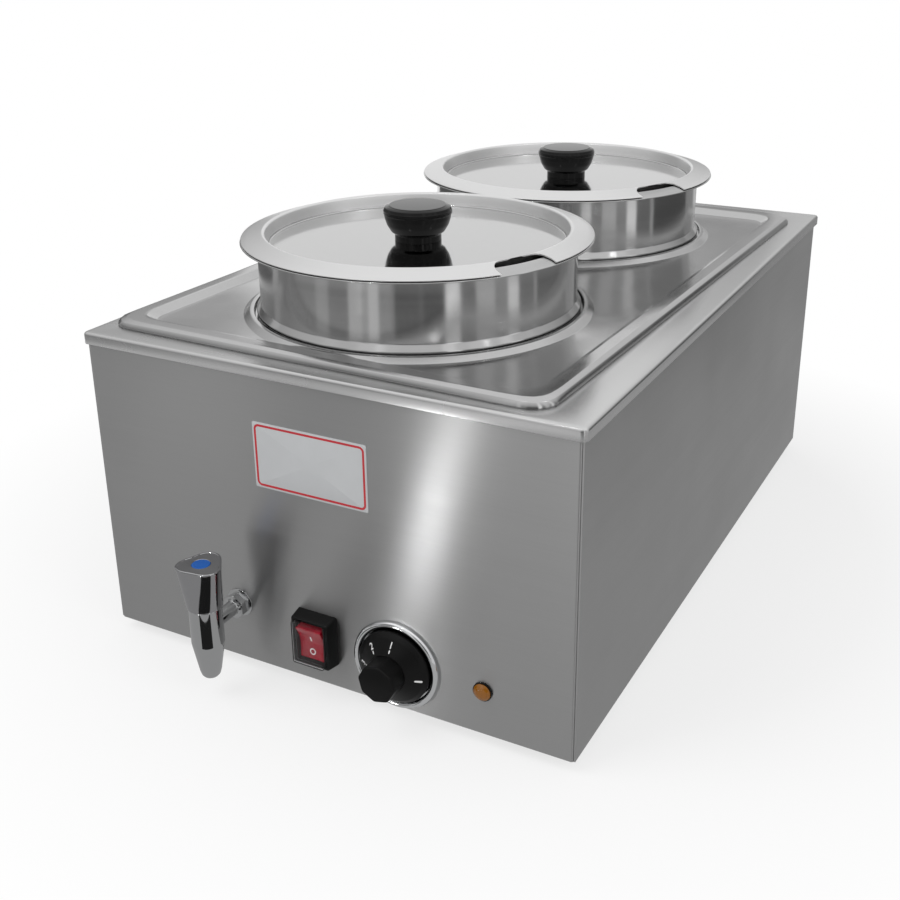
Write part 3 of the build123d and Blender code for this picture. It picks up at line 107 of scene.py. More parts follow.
def plan_middle(node: str, level: float) -> np.ndarray:
    """The middle of a CAD node seen from above, at a level, in millimetres."""
    low, high = node_box(node)
    return np.array([*((low + high) / 2)[:2], level])


def rear_middle(node: str) -> np.ndarray:
    """The middle of a CAD node's rear side, in millimetres.

    Args:
        node: the node's name.

    Returns:
        The point as x, y and z.
    """
    low, high = node_box(node)
    middle = (low + high) / 2
    return np.array([middle[0], high[1], middle[2]])


def deck_level() -> float:
    """The height of the deck's top, in millimetres."""
    return node_box("top_deck")[1][2]


def even(value: float) -> Triple:
    """The same value three times: a grey, or a grain that is as fine every way."""
    return value, value, value


def quarter_round(size: float, parts: int) -> list[tuple[float, float]]:
    """A quarter circle that rounds an edge.

    Each point is the size times one less the angle's sine, and the size times one less
    its cosine: what the first side still lacks, and how far the second has gone in.

    Args:
        size: the round's radius.
        parts: parts of the arc.

    Returns:
        The pairs, one for each point.
    """
    angles = np.linspace(0, TURN / 4, parts + 1)
    return [(size * (1 - math.sin(angle)), size * (1 - math.cos(angle))) for angle in angles]


def bent(points: Points, radii: Sequence[float], steps: int = 6) -> np.ndarray:
    """A line of straight runs joined by arcs.

    Each inner corner is cut back along both runs by its radius over the tangent of
    half its angle, and the arc between turns in equal steps.

    Args:
        points: the corners of the line.
        radii: one radius for each inner corner.
        steps: parts of each arc.

    Returns:
        The points of the rounded line, one row each.
    """
    corners = np.asarray(points, float)
    line = [corners[:1]]
    for here, before, after, radius in zip(corners[1:-1], corners[:-2], corners[2:], radii):
        back = (before - here) / np.linalg.norm(before - here)
        ahead = (after - here) / np.linalg.norm(after - here)
        half = math.acos(float(np.clip(back @ ahead, -1, 1))) / 2
        bisector = (back + ahead) / np.linalg.norm(back + ahead)
        centre = here + bisector * radius / math.sin(half)
        start = here + back * radius / math.tan(half) - centre
        end = here + ahead * radius / math.tan(half) - centre
        sweep = math.pi - 2 * half
        share = np.linspace(0, 1, steps + 1)[:, None]
        arc = (np.sin((1 - share) * sweep) * start + np.sin(share * sweep) * end) / math.sin(sweep)
        line.append(centre + arc)
    line.append(corners[-1:])
    return np.concatenate(line)


def divided(line: np.ndarray, longest: float) -> np.ndarray:
    """The same line with its long runs cut into equal parts.

    Args:
        line: the points, one row each.
        longest: the longest run that may stay.

    Returns:
        The line with the added points.
    """
    runs = np.linalg.norm(np.diff(line, axis=0), axis=1)
    counts = np.maximum(np.ceil(runs / longest).astype(int), 1)
    parts = [
        start + (end - start) * np.linspace(0, 1, count, endpoint=False)[:, None]
        for start, end, count in zip(line[:-1], line[1:], counts)
    ]
    return np.concatenate([*parts, line[-1:]])


def sheet_section(line: np.ndarray, thickness: float, steps: int = 5) -> np.ndarray:
    """The outline of a sheet round its middle line, from the axis out and back.

    Each point is set off along the line's normal by half the thickness, first on the
    upper side and then on the lower, and a half circle closes the far edge.

    Args:
        line: the middle line as radius and height, starting on the axis.
        thickness: the sheet's thickness.
        steps: parts of the half circle at the far edge.

    Returns:
        The outline as radius and height, from the axis round to the axis.
    """
    along = np.gradient(line, axis=0)
    along /= np.linalg.norm(along, axis=1)[:, None]
    across = np.stack([-along[:, 1], along[:, 0]], axis=1) * thickness / 2
    turn = np.linspace(0, math.pi, steps + 2)[1:-1, None]
    edge = line[-1] + across[-1] * np.cos(turn) + along[-1] * np.sin(turn) * thickness / 2
    return np.concatenate([line + across, edge, (line - across)[::-1]])


def turned(section: np.ndarray, columns: int = 192) -> np.ndarray:
    """A surface turned about the upright axis.

    A point at radius r and height z goes to (r cos a, r sin a, z) for the angle a of
    its column.

    Args:
        section: radius and height, one row each.
        columns: parts of the full turn.

    Returns:
        The grid of points, rows by columns.
    """
    angle = even_angles(columns)
    radius, height = section[:, :1], section[:, 1:]
    level = np.broadcast_to(height, (len(section), columns))
    return np.stack([radius * np.cos(angle), radius * np.sin(angle), level], axis=-1)


def even_angles(count: int) -> np.ndarray:
    """A full turn in equal steps, in radians, from 0."""
    return np.arange(count) / count * TURN


def polar(radius: np.ndarray | float, angle: np.ndarray, level: np.ndarray | float) -> np.ndarray:
    """Points about the upright axis: radius times cosine, radius times sine, and level."""
    reach, height = np.broadcast_to(radius, angle.shape), np.broadcast_to(level, angle.shape)
    return np.column_stack([reach * np.cos(angle), reach * np.sin(angle), height])


def outline(half_x: float, half_y: float, corner: float, parts: int = 8) -> np.ndarray:
    """A rectangle with round corners.

    Args:
        half_x: half its width.
        half_y: half its length.
        corner: the corner's radius.
        parts: parts of each corner's arc.

    Returns:
        The points round the outline, one row each.
    """
    angle = np.linspace(0, TURN / 4, parts + 1)
    quarters = []
    for quarter, (side_x, side_y) in enumerate([(1, 1), (-1, 1), (-1, -1), (1, -1)]):
        turn = angle + quarter * TURN / 4
        middle = np.array([side_x * (half_x - corner), side_y * (half_y - corner)])
        quarters.append(middle + corner * np.stack([np.cos(turn), np.sin(turn)], axis=1))
    return np.concatenate(quarters)


def level_outline(half_x: float, half_y: float, corner: float, level: float) -> np.ndarray:
    """A rectangle with round corners at one level, its corner no larger than fits."""
    flat = outline(half_x, half_y, min(corner, half_x, half_y))
    return np.column_stack([flat, np.full(len(flat), level)])


def facing(grid: np.ndarray, place: Sequence[float]) -> np.ndarray:
    """Turns points made along the upright axis so that their top faces the front.

    Args:
        grid: points whose last axis is x, y, z.
        place: where the origin goes.

    Returns:
        The points with (x, y, z) sent to (x, -z, y) and moved to the place.
    """
    return np.stack([grid[..., 0], -grid[..., 2], grid[..., 1]], axis=-1) + np.asarray(place, float)


def grid_quads(shape: tuple[int, int], closed_rows: bool = False, closed_columns: bool = False) -> np.ndarray:
    """The four-sided faces between neighbouring points of a grid.

    Args:
        shape: the number of rows and of columns.
        closed_rows: joins the last row to the first.
        closed_columns: joins the last column to the first.

    Returns:
        Four point numbers for each face.
    """
    index = np.arange(shape[0] * shape[1]).reshape(shape)
    if closed_columns:
        index = np.hstack([index, index[:, :1]])
    if closed_rows:
        index = np.vstack([index, index[:1]])
    return np.stack([index[:-1, :-1], index[:-1, 1:], index[1:, 1:], index[1:, :-1]], axis=-1).reshape(-1, 4)


class Skin:
    """Grids of points in millimetres that become one welded mesh."""

    def __init__(self) -> None:
        """Starts with no grids."""
        self._points: list[np.ndarray] = []
        self._quads: list[np.ndarray] = []
        self._count = 0

    def add(self, grid: np.ndarray, closed_rows: bool = False, closed_columns: bool = False) -> "Skin":
        """Adds the four-sided faces between neighbouring points of a grid.

        Args:
            grid: points, rows by columns by three.
            closed_rows: joins the last row to the first.
            closed_columns: joins the last column to the first.

        Returns:
            This skin.
        """
        rows, columns = grid.shape[:2]
        self._points.append(grid.reshape(-1, 3))
        self._quads.append(grid_quads((rows, columns), closed_rows, closed_columns) + self._count)
        self._count += rows * columns
        return self

    def mesh(self, name: str, crease: float = 32.0, outward: bool = True) -> bpy.types.Mesh:
        """Welds the grids and shades them smooth up to the crease angle.

        Args:
            name: the mesh's name.
            crease: edges sharper than this, in degrees, stay sharp.
            outward: turns every face of a closed skin outwards.

        Returns:
            The mesh, in metres.
        """
        mesh = bpy.data.meshes.new(name)
        mesh.from_pydata(np.concatenate(self._points) * MM, [], np.concatenate(self._quads).tolist())
        work = bmesh.new()
        work.from_mesh(mesh)
        bmesh.ops.remove_doubles(work, verts=work.verts, dist=WELD)
        bmesh.ops.dissolve_degenerate(work, dist=WELD / 10, edges=work.edges)
        if outward:
            bmesh.ops.recalc_face_normals(work, faces=work.faces)
        work.to_mesh(mesh)
        work.free()
        mesh.shade_smooth()
        mesh.set_sharp_from_angle(angle=math.radians(crease))
        return mesh


def front_mesh(grid: np.ndarray, place: Sequence[float], name: str, crease: float) -> bpy.types.Mesh:
    """The closed mesh of a grid made along the upright axis and turned to face the front."""
    return Skin().add(facing(grid, place), closed_columns=True).mesh(name, crease)


def turned_mesh(
    section: np.ndarray, columns: int, place: Sequence[float], name: str, crease: float
) -> bpy.types.Mesh:
    """The closed mesh of a section turned about the upright axis and moved to its place."""
    return Skin().add(turned(section, columns) + place, closed_columns=True).mesh(name, crease)


class Graph:
    """Nodes of a material or a group, added and joined by name."""

    def __init__(self, tree: bpy.types.NodeTree) -> None:
        """Works on the given tree."""
        self.tree = tree

    def node(self, kind: str, **settings: object) -> bpy.types.Node:
        """Adds a node and sets its properties.

        Args:
            kind: the node's class, without the word before it.
            **settings: properties of the node, by name.

        Returns:
            The node.
        """
        made = self.tree.nodes.new(kind)
        for name, value in settings.items():
            setattr(made, name, value)
        return made

    def join(self, source: bpy.types.NodeSocket, target: bpy.types.NodeSocket) -> None:
        """Links an output to an input."""
        self.tree.links.new(source, target)

    def put(self, value: object, target: bpy.types.NodeSocket) -> None:
        """Links an output to an input, or sets the input to a plain value.

        Args:
            value: an output, a number or a colour.
            target: the input.
        """
        if isinstance(value, bpy.types.NodeSocket):
            self.join(value, target)
        else:
            target.default_value = value

    def maths(self, kind: str, first: object, second: object) -> bpy.types.NodeSocket:
        """A Math node on two numbers or outputs.

        Args:
            kind: the operation.
            first: a number or an output.
            second: a number or an output.

        Returns:
            The result's output.
        """
        made = self.node("ShaderNodeMath", operation=kind)
        for value, socket in zip((first, second), made.inputs):
            self.put(value, socket)
        return made.outputs[0]

    def mixed(self, share: bpy.types.NodeSocket, low: object, high: object) -> bpy.types.NodeSocket:
        """A colour between two colours.

        Args:
            share: 0 gives the low colour and 1 the high one.
            low: red, green, blue and 1, or an output.
            high: red, green, blue and 1, or an output.

        Returns:
            The colour's output.
        """
        made = self.node("ShaderNodeMix", data_type="RGBA")
        for value, index in ((share, MIX_SHARE), (low, MIX_LOW), (high, MIX_HIGH)):
            self.put(value, made.inputs[index])
        return made.outputs[MIX_RESULT]

    def bump(self, height: bpy.types.NodeSocket, distance: float, shader: bpy.types.Node) -> None:
        """Tilts a shader's normal by a height from 0 to 1 times a distance in millimetres.

        Args:
            height: the height's output.
            distance: how high 1 stands, in millimetres.
            shader: the node whose Normal it feeds.
        """
        made = self.node("ShaderNodeBump")
        made.inputs["Strength"].default_value = 1.0
        made.inputs["Distance"].default_value = distance * MM
        self.join(height, made.inputs["Height"])
        self.join(made.outputs["Normal"], shader.inputs["Normal"])

    def noise(self, vector: bpy.types.NodeSocket, scale: float, detail: float = 2.0) -> bpy.types.NodeSocket:
        """A noise value from 0 to 1.

        Args:
            vector: where it is read.
            scale: how fine it is.
            detail: how many finer layers it has.

        Returns:
            The value's output.
        """
        made = self.node("ShaderNodeTexNoise")
        made.inputs["Scale"].default_value = scale
        made.inputs["Detail"].default_value = detail
        self.join(vector, made.inputs["Vector"])
        return made.outputs[0]

    def ranged(self, value: bpy.types.NodeSocket, span: Four) -> bpy.types.NodeSocket:
        """A value sent from one range to another.

        Args:
            value: the value's output.
            span: the old low and high end, then the new ones.

        Returns:
            The result's output.
        """
        made = self.node("ShaderNodeMapRange")
        self.join(value, made.inputs["Value"])
        for socket, end in zip(list(made.inputs)[1:5], span):
            socket.default_value = end
        return made.outputs[0]


def new_group(name: str, ins: dict[str, str], outs: dict[str, str]) -> tuple[Graph, dict, dict]:
    """An empty shader group with its sockets.

    Args:
        name: the group's name.
        ins: input names with their socket kinds.
        outs: output names with their socket kinds.

    Returns:
        The group's graph, its inputs by name and its outputs by name.
    """
    tree = bpy.data.node_groups.new(name, "ShaderNodeTree")
    for way, sockets in (("INPUT", ins), ("OUTPUT", outs)):
        for label, kind in sockets.items():
            tree.interface.new_socket(name=label, in_out=way, socket_type=kind)
    graph = Graph(tree)
    source = graph.node("NodeGroupInput").outputs
    target = graph.node("NodeGroupOutput").inputs
    return graph, {label: source[label] for label in ins}, {label: target[label] for label in outs}


FLOAT = "NodeSocketFloat"
VECTOR = "NodeSocketVector"
FINE_LINES = (1.0, 3.0)
BROAD_BANDS = (0.17, 2.0)
FINE_SHARE = 0.65
SMEARS = (14.0, 4.0)
SMEAR_SPAN = (0.35, 0.7, 0.0, 1.0)
PEBBLES = (2400.0, 2.0)
SLOW_FLOW = (90.0, 2.0)


def grain_group() -> bpy.types.NodeTree:
    """Brushed grain: fine lines and broad bands read from a stretched vector.

    Returns:
        The group, with Lines and Bands from 0 to 1.
    """
    graph, ins, outs = new_group("brushed_grain", {"Vector": VECTOR}, {"Lines": FLOAT, "Bands": FLOAT})
    fine = graph.noise(ins["Vector"], *FINE_LINES)
    broad = graph.noise(ins["Vector"], *BROAD_BANDS)
    fine_part = graph.maths("MULTIPLY", fine, FINE_SHARE)
    broad_part = graph.maths("MULTIPLY", broad, 1 - FINE_SHARE)
    graph.join(graph.maths("ADD", fine_part, broad_part), outs["Lines"])
    graph.join(broad, outs["Bands"])
    return graph.tree


def handling_group() -> bpy.types.NodeTree:
    """Marks of use: soft cloudy smears.

    Returns:
        The group, with Smear from 0 to 1.
    """
    graph, ins, outs = new_group("handling_marks", {"Vector": VECTOR}, {"Smear": FLOAT})
    graph.join(graph.ranged(graph.noise(ins["Vector"], *SMEARS), SMEAR_SPAN), outs["Smear"])
    return graph.tree


def moulding_group() -> bpy.types.NodeTree:
    """Moulded skin: a fine pebble and a slow unevenness.

    Returns:
        The group, with Pebble and Flow from 0 to 1.
    """
    graph, ins, outs = new_group("moulded_skin", {"Vector": VECTOR}, {"Pebble": FLOAT, "Flow": FLOAT})
    for label, (scale, detail) in {"Pebble": PEBBLES, "Flow": SLOW_FLOW}.items():
        graph.join(graph.noise(ins["Vector"], scale, detail), outs[label])
    return graph.tree


class Groups:
    """The shader groups, each made once."""

    _made: dict[str, bpy.types.NodeTree] = {}
    _makers = {"grain": grain_group, "handling": handling_group, "moulding": moulding_group}

    @classmethod
    def place(cls, graph: Graph, kind: str, vector: bpy.types.NodeSocket) -> bpy.types.Node:
        """Places a group in a material.

        Args:
            graph: the material's graph.
            kind: grain, handling or moulding.
            vector: the output that the group reads.

        Returns:
            The group's node.
        """
        if kind not in cls._made:
            cls._made[kind] = cls._makers[kind]()
        made = graph.node("ShaderNodeGroup", node_tree=cls._made[kind])
        graph.join(vector, made.inputs["Vector"])
        return made


def start_material(name: str) -> tuple[Graph, bpy.types.Node, bpy.types.Material]:
    """A material with its Principled shader.

    Args:
        name: the material's name.

    Returns:
        Its graph, the shader node and the material.
    """
    material = bpy.data.materials.new(name)
    material.use_nodes = True
    graph = Graph(material.node_tree)
    return graph, material.node_tree.nodes["Principled BSDF"], material


def stretched(graph: Graph, scale: Triple = even(1.0)) -> bpy.types.NodeSocket:
    """Object coordinates stretched along the axes.

    Args:
        graph: the material's graph.
        scale: how fine the pattern is along x, y and z, in steps a metre.

    Returns:
        The vector's output.
    """
    place = graph.node("ShaderNodeTexCoord")
    mapping = graph.node("ShaderNodeMapping")
    mapping.inputs["Scale"].default_value = scale
    graph.join(place.outputs["Object"], mapping.inputs["Vector"])
    return mapping.outputs["Vector"]


def shaded(colour: Triple, share: float) -> tuple[float, ...]:
    """The colour made lighter or darker by a share, with 1 as its fourth part."""
    return *(min(max(part * (1.0 + share), 0.0), 1.0) for part in colour), 1.0


QUARTER_TURN = 0.25
COAT_ROUGHNESS = 0.04
SMEAR_SHARE = 0.5
WORN_SPAN = (0.3, 1.1)


@dataclass(frozen=True)
class Metal:
    """A bare or plated metal with a grain."""

    name: str
    colour: Triple
    roughness: tuple[float, float]
    grain: Triple = (40.0, 40.0, 900.0)
    bump: float = 0.0
    stretch: float = 0.0
    mottle: float = 0.06
    # Two heights, a satin roughness and a lighter grey; the grey above the heights is a painted highlight.
    satin_and_highlight_above: Four | None = None

    def material(self) -> bpy.types.Material:
        """Builds the material.

        Grain lines vary colour and height, broad bands and smears vary the gloss. Above
        two given heights the metal turns to a satin roughness and to a lighter grey, a
        painted highlight along the top.

        Returns:
            The material.
        """
        graph, shader, material = start_material(self.name)
        lines = Groups.place(graph, "grain", stretched(graph, self.grain))
        marks = Groups.place(graph, "handling", stretched(graph))
        spread = self.mottle * 2
        colour = graph.mixed(lines.outputs["Lines"], shaded(self.colour, -spread), shaded(self.colour, spread))
        smear = graph.maths("MULTIPLY", marks.outputs["Smear"], SMEAR_SHARE)
        worn = graph.maths("ADD", lines.outputs["Bands"], smear)
        rough = graph.ranged(worn, (*WORN_SPAN, *self.roughness))
        # Painted highlight: above the two heights the colour turns to a lighter grey, and the roughness to satin.
        if self.satin_and_highlight_above:
            start, end, satin, grey = self.satin_and_highlight_above
            level = graph.node("ShaderNodeSeparateXYZ")
            graph.join(stretched(graph), level.inputs[0])
            share = graph.ranged(level.outputs["Z"], (start * MM, end * MM, 0.0, 1.0))
            rough = graph.maths("MAXIMUM", rough, graph.maths("MULTIPLY", share, satin))
            colour = graph.mixed(share, colour, (*even(grey), 1.0))
        graph.join(colour, shader.inputs["Base Color"])
        graph.join(rough, shader.inputs["Roughness"])
        shader.inputs["Metallic"].default_value = 1.0
        if self.stretch:
            shader.inputs["Anisotropic"].default_value = self.stretch
            shader.inputs["Anisotropic Rotation"].default_value = QUARTER_TURN
        if self.bump:
            graph.bump(lines.outputs["Lines"], self.bump, shader)
        return material


@dataclass(frozen=True)
class Moulding:
    """A moulded plastic, rubber or ceramic."""

    name: str
    colour: Triple
    roughness: tuple[float, float]
    bump: float = 0.0
    coat: float = 0.0
    glow: float = 0.0
    clear: float = 0.0
    mottle: float = 0.12
    index: float = 1.5

    def material(self) -> bpy.types.Material:
        """Builds the material.

        The pebble gives the height, the flow and the smears vary colour and gloss.

        Returns:
            The material.
        """
        graph, shader, material = start_material(self.name)
        skin = Groups.place(graph, "moulding", stretched(graph))
        marks = Groups.place(graph, "handling", stretched(graph))
        dark, light = shaded(self.colour, -self.mottle), shaded(self.colour, self.mottle)
        colour = graph.mixed(skin.outputs["Flow"], dark, light)
        graph.join(colour, shader.inputs["Base Color"])
        graph.join(graph.ranged(marks.outputs["Smear"], (0.0, 1.0, *self.roughness)), shader.inputs["Roughness"])
        shader.inputs["IOR"].default_value = self.index
        shader.inputs["Coat Weight"].default_value = self.coat
        shader.inputs["Coat Roughness"].default_value = COAT_ROUGHNESS
        shader.inputs["Transmission Weight"].default_value = self.clear
        if self.glow:
            graph.join(colour, shader.inputs["Emission Color"])
            shader.inputs["Emission Strength"].default_value = self.glow
        if self.bump:
            graph.bump(skin.outputs["Pebble"], self.bump, shader)
        return material


Finish = Metal | Moulding
EVEN_GRAIN = even(200.0)
LEVEL_GRAIN = (14.0, 14.0, 1500.0)
# The lid rim's crest: a satin roughness, and a lighter grey that is a painted highlight along the top.
RIM_SATIN_AND_HIGHLIGHT = (275.4, 276.6, 0.36, 0.72)
FINISHES: dict[Slot, Finish] = {
    Slot.CASING: Metal("brushed_casing", even(0.5), (0.29, 0.35), LEVEL_GRAIN, stretch=0.96, mottle=0.02),
    Slot.SATIN: Metal("satin_steel", even(0.5), (0.16, 0.3), (30.0, 30.0, 1200.0), 0.0015, 0.6, 0.03),
    Slot.MIRROR: Metal(
        "mirror_steel", even(0.51), (0.05, 0.12), even(300.0), mottle=0.015, satin_and_highlight_above=RIM_SATIN_AND_HIGHLIGHT
    ),
    Slot.PHENOLIC: Moulding("black_phenolic", even(0.002), (0.03, 0.06), index=1.32),
    Slot.CHROMED: Metal("chromed_brass", (0.55, 0.555, 0.56), (0.02, 0.05), EVEN_GRAIN, mottle=0.01),
    Slot.TRIM: Metal("chrome_trim", (0.8, 0.81, 0.82), (0.05, 0.1), EVEN_GRAIN, mottle=0.01),
    Slot.BRASS: Metal("bare_brass", (0.6, 0.42, 0.18), (0.22, 0.38), (200.0, 200.0, 600.0), 0.003),
    Slot.ZINC: Metal("zinc_plate", (0.55, 0.56, 0.58), (0.22, 0.4), even(120.0), 0.002),
    Slot.RUBBER: Moulding("foot_rubber", even(0.02), (0.6, 0.8), 0.03),
    Slot.BLUE: Moulding("blue_insert", (0.005, 0.1, 0.42), (0.3, 0.45), 0.01),
    Slot.SILICONE: Moulding("pale_silicone", (0.7, 0.68, 0.62), (0.4, 0.55), 0.01),
    Slot.CERAMIC: Moulding("pale_insulator", (0.72, 0.7, 0.64), (0.45, 0.6), 0.01),
    Slot.DIAL: Moulding("matt_black_dial", even(0.004), (0.3, 0.4), 0.004, index=1.28),
    Slot.NYLON: Moulding("black_nylon", even(0.004), (0.28, 0.4), 0.005, index=1.3),
    Slot.RED: Moulding("red_rocker", (0.25, 0.0, 0.01), (0.12, 0.2), glow=0.14, index=1.35),
    Slot.CLEAR: Moulding("clear_hood", (0.95, 0.96, 0.97), (0.01, 0.03), clear=1.0, index=1.22),
    Slot.AMBER: Moulding("amber_lens", (0.24, 0.085, 0.003), (0.06, 0.12), coat=0.5, glow=0.03),
    Slot.LABEL: Moulding("label_face", (0.5, 0.51, 0.52), (0.35, 0.5), mottle=0.03),
    Slot.SHEATH: Metal("heated_sheath", (0.16, 0.13, 0.11), (0.4, 0.6), even(60.0), 0.004),
    Slot.ALUMINIUM: Metal("shield_aluminium", (0.6, 0.61, 0.62), (0.35, 0.5), (12.0, 700.0, 12.0), 0.003),
    Slot.COPPER: Metal("copper", (0.55, 0.27, 0.15), (0.25, 0.4), EVEN_GRAIN, 0.002),
    Slot.WIRE: Moulding("wire_insulation", (0.3, 0.09, 0.05), (0.45, 0.6), 0.004),
}
DECK_STEEL = Metal("satin_deck", even(0.6), (0.25, 0.28), even(40.0), mottle=0.01)
PLATE_STEEL = Metal("satin_plate", even(0.5), (0.12, 0.24), even(260.0), 0.001, mottle=0.02)
POT_STEEL = Metal("turned_pot", even(0.48), (0.11, 0.17), (20.0, 20.0, 1200.0), stretch=0.88, mottle=0.02)
HANDLE_CHROME = Metal("satin_chrome", (0.42, 0.42, 0.43), (0.05, 0.1), EVEN_GRAIN, mottle=0.02)
PRINT_WHITE = Moulding("white_print", even(0.8), (0.4, 0.5))
PRINT_RED = Moulding("red_print", (0.5, 0.01, 0.02), (0.4, 0.5))
NODE_FINISHES: dict[str, Finish] = {"top_deck": DECK_STEEL, "adapter_plate": PLATE_STEEL}


class Bench:
    """Where finished pieces get their material and their body."""

    _materials: dict[str, bpy.types.Material] = {}

    @classmethod
    def material(cls, finish: Finish) -> bpy.types.Material:
        """The finish's material, built the first time it is asked for.

        Args:
            finish: the finish.

        Returns:
            Its material.
        """
        if finish.name not in cls._materials:
            cls._materials[finish.name] = finish.material()
        return cls._materials[finish.name]

    @classmethod
    def piece(
        cls, name: str, mesh: bpy.types.Mesh, slot: Slot, body: str, nodes: Sequence[str],
        finish: Finish | None = None,
    ) -> bpy.types.Object:
        """Makes a finished piece of a mesh.

        Args:
            name: the piece's name.
            mesh: its mesh, in place.
            slot: the record's slot that it takes its finish from.
            body: the body that it rides on.
            nodes: the CAD nodes that it stands for.
            finish: a finish of its own, if not the slot's.

        Returns:
            The piece.
        """
        made = bpy.data.objects.new(name, mesh)
        bpy.context.scene.collection.objects.link(made)
        mesh.materials.append(cls.material(finish or FINISHES[slot]))
        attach(made, body)
        if nodes:
            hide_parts(*nodes)
        LOG.info("%s rides on %s, %d faces", name, body, len(mesh.polygons))
        return made

    @classmethod
    def dress_nodes(cls) -> None:
        """Gives every CAD node the material of its slot, or one of its own."""
        slots = {part["node"]: Slot(part["material_slot"]) for part in frame["record"]["subparts"]}
        for node, thing in frame["nodes"].items():
            material = cls.material(NODE_FINISHES.get(node, FINISHES[slots[node]]))
            for place in thing.material_slots:
                place.material = material
            if not thing.material_slots:
                thing.data.materials.append(material)
        LOG.info("%d nodes dressed", len(frame["nodes"]))


@dataclass
class Casing:
    """The deck, the plain plate on the front and the feet."""

    lip: float = 8.0
    edge: float = 2.2
    corner: float = 4.0
    least_corner: float = 0.3
    sheet: float = 1.0
    lip_round: float = 0.35
    opening: tuple[float, float] = (148.0, 238.0)
    opening_corner: float = 30.0
    opening_round: float = 0.45
    label_corner: float = 1.2
    line_corner: float = 3.6
    label_round: float = 0.18
    label_bevel: float = 0.3
    line_inset: float = 1.3
    line_width: float = 1.5
    line_rise: float = 0.03
    line_root: float = 0.05
    foot_section: Points = (
        (4.1, 0.0), (11.0, 0.0), (13.0, 4.0), (13.0, 8.0), (2.05, 8.0), (2.05, 4.0), (4.1, 4.0)
    )
    foot_rounds: tuple[float, ...] = (1.0, 1.2, 0.4, 0.2, 0.2, 0.2)

    def deck(self) -> bpy.types.Mesh:
        """The tray as matched outlines lofted round its section and closed.

        The section gives an inset and a height: up the lip, round the edge, in to the
        opening, down its rounded side and back under the sheet.

        Returns:
            The mesh, in metres.
        """
        low, high = node_box("top_deck")
        middle, half = (low + high) / 2, (high - low) / 2
        flat = self.edge * 2
        sheet, lip = self.sheet, self.lip
        upper = [(sheet, self.lip_round - lip), (sheet, -lip), (0, -lip), (0, 0), (flat, 0)]
        under = [(flat, -sheet), (sheet, -sheet), (sheet, -lip / 2)]
        rows = self._levels(half, bent(upper, [self.lip_round, self.lip_round, self.edge], 7))
        rows += [self._opening(grow, -drop) for grow, drop in quarter_round(self.opening_round, 4)]
        rows.append(self._opening(0.0, -sheet))
        rows += self._levels(half, bent(under, [self.edge - sheet], 5))
        grid = np.array(rows) + [*middle[:2], high[2]]
        return Skin().add(grid, closed_rows=True, closed_columns=True).mesh("top_deck_skin", 40)

    def _levels(self, half: np.ndarray, section: np.ndarray) -> list[np.ndarray]:
        """The deck's outline drawn in by each inset of a section, at its height.

        Args:
            half: half the deck's box.
            section: insets and heights, one row each.

        Returns:
            One outline for each row of the section.
        """
        return [
            level_outline(half[0] - inset, half[1] - inset, max(self.corner - inset, self.least_corner), height)
            for inset, height in section
        ]

    def _opening(self, grow: float, height: float) -> np.ndarray:
        """The opening's outline, a little larger, at one height."""
        half_x, half_y = self.opening
        return level_outline(half_x + grow, half_y + grow, self.opening_corner + grow, height)

    @staticmethod
    def _label_size() -> tuple[float, float, float]:
        """Half the plate's width, its thickness and half its height.

        Returns:
            The three lengths in millimetres.
        """
        low, high = node_box("label_plate")
        wide, thick, tall = high - low
        return wide / 2, thick, tall / 2

    def label(self) -> bpy.types.Mesh:
        """The plate as lofted outlines, from a point behind to a point in front.

        Returns:
            The mesh, in metres.
        """
        half_x, rise, _ = self._label_size()
        cut = self.label_round
        bevel = cut * self.label_bevel
        rows = [(half_x, 0.0), (0.0, 0.0), (0.0, rise - cut), (bevel, rise - bevel), (cut, rise), (half_x, rise)]
        return self._plate_loft(rows, self.label_corner).mesh("label_skin", 25)

    def label_line(self) -> bpy.types.Mesh:
        """The printed line round the plate: a thin closed band.

        Returns:
            The mesh, in metres.
        """
        rise = self._label_size()[1]
        inner = self.line_inset + self.line_width
        root, face = rise - self.line_root, rise + self.line_rise
        rows = [(self.line_inset, root), (self.line_inset, face), (inner, face), (inner, root)]
        corner = self.line_corner + self.line_inset
        return self._plate_loft(rows, corner, closed=True).mesh("label_line_skin", 25)

    def _plate_loft(self, rows: Points, corner: float, closed: bool = False) -> Skin:
        """The plate's outlines drawn in by each row's inset at its rise, facing the front.

        Args:
            rows: insets and rises.
            corner: the corner's radius before it is drawn in.
            closed: joins the last row to the first.

        Returns:
            The skin.
        """
        half_x, _, half_z = self._label_size()
        grid = [
            level_outline(half_x - inset, max(half_z - inset, 0.0), max(corner - inset, 0.0), rise)
            for inset, rise in rows
        ]
        place = rear_middle("label_plate")
        return Skin().add(facing(np.array(grid), place), closed_rows=closed, closed_columns=True)

    def feet(self) -> bpy.types.Mesh:
        """Four turned feet, each open for its screw.

        Returns:
            The mesh, in metres.
        """
        low, high = node_box("feet")
        reach = self.foot_section[2][0]
        closed = [*self.foot_section, self.foot_section[0]]
        foot = turned(bent(closed, self.foot_rounds, 5)[:-1], 64)
        skin = Skin()
        for x in (low[0] + reach, high[0] - reach):
            for y in (low[1] + reach, high[1] - reach):
                skin.add(foot + [x, y, low[2]], closed_rows=True, closed_columns=True)
        return skin.mesh("feet_skin", 50)

    def build(self) -> None:
        """Makes the casing's pieces."""
        Bench.piece("deck_tray", self.deck(), Slot.CASING, "casing", ["top_deck"], DECK_STEEL)
        Bench.piece("front_label", self.label(), Slot.LABEL, "casing", ["label_plate"])
        Bench.piece("front_label_line", self.label_line(), Slot.LABEL, "casing", [], PRINT_RED)
        Bench.piece("rubber_feet", self.feet(), Slot.RUBBER, "casing", ["feet"])


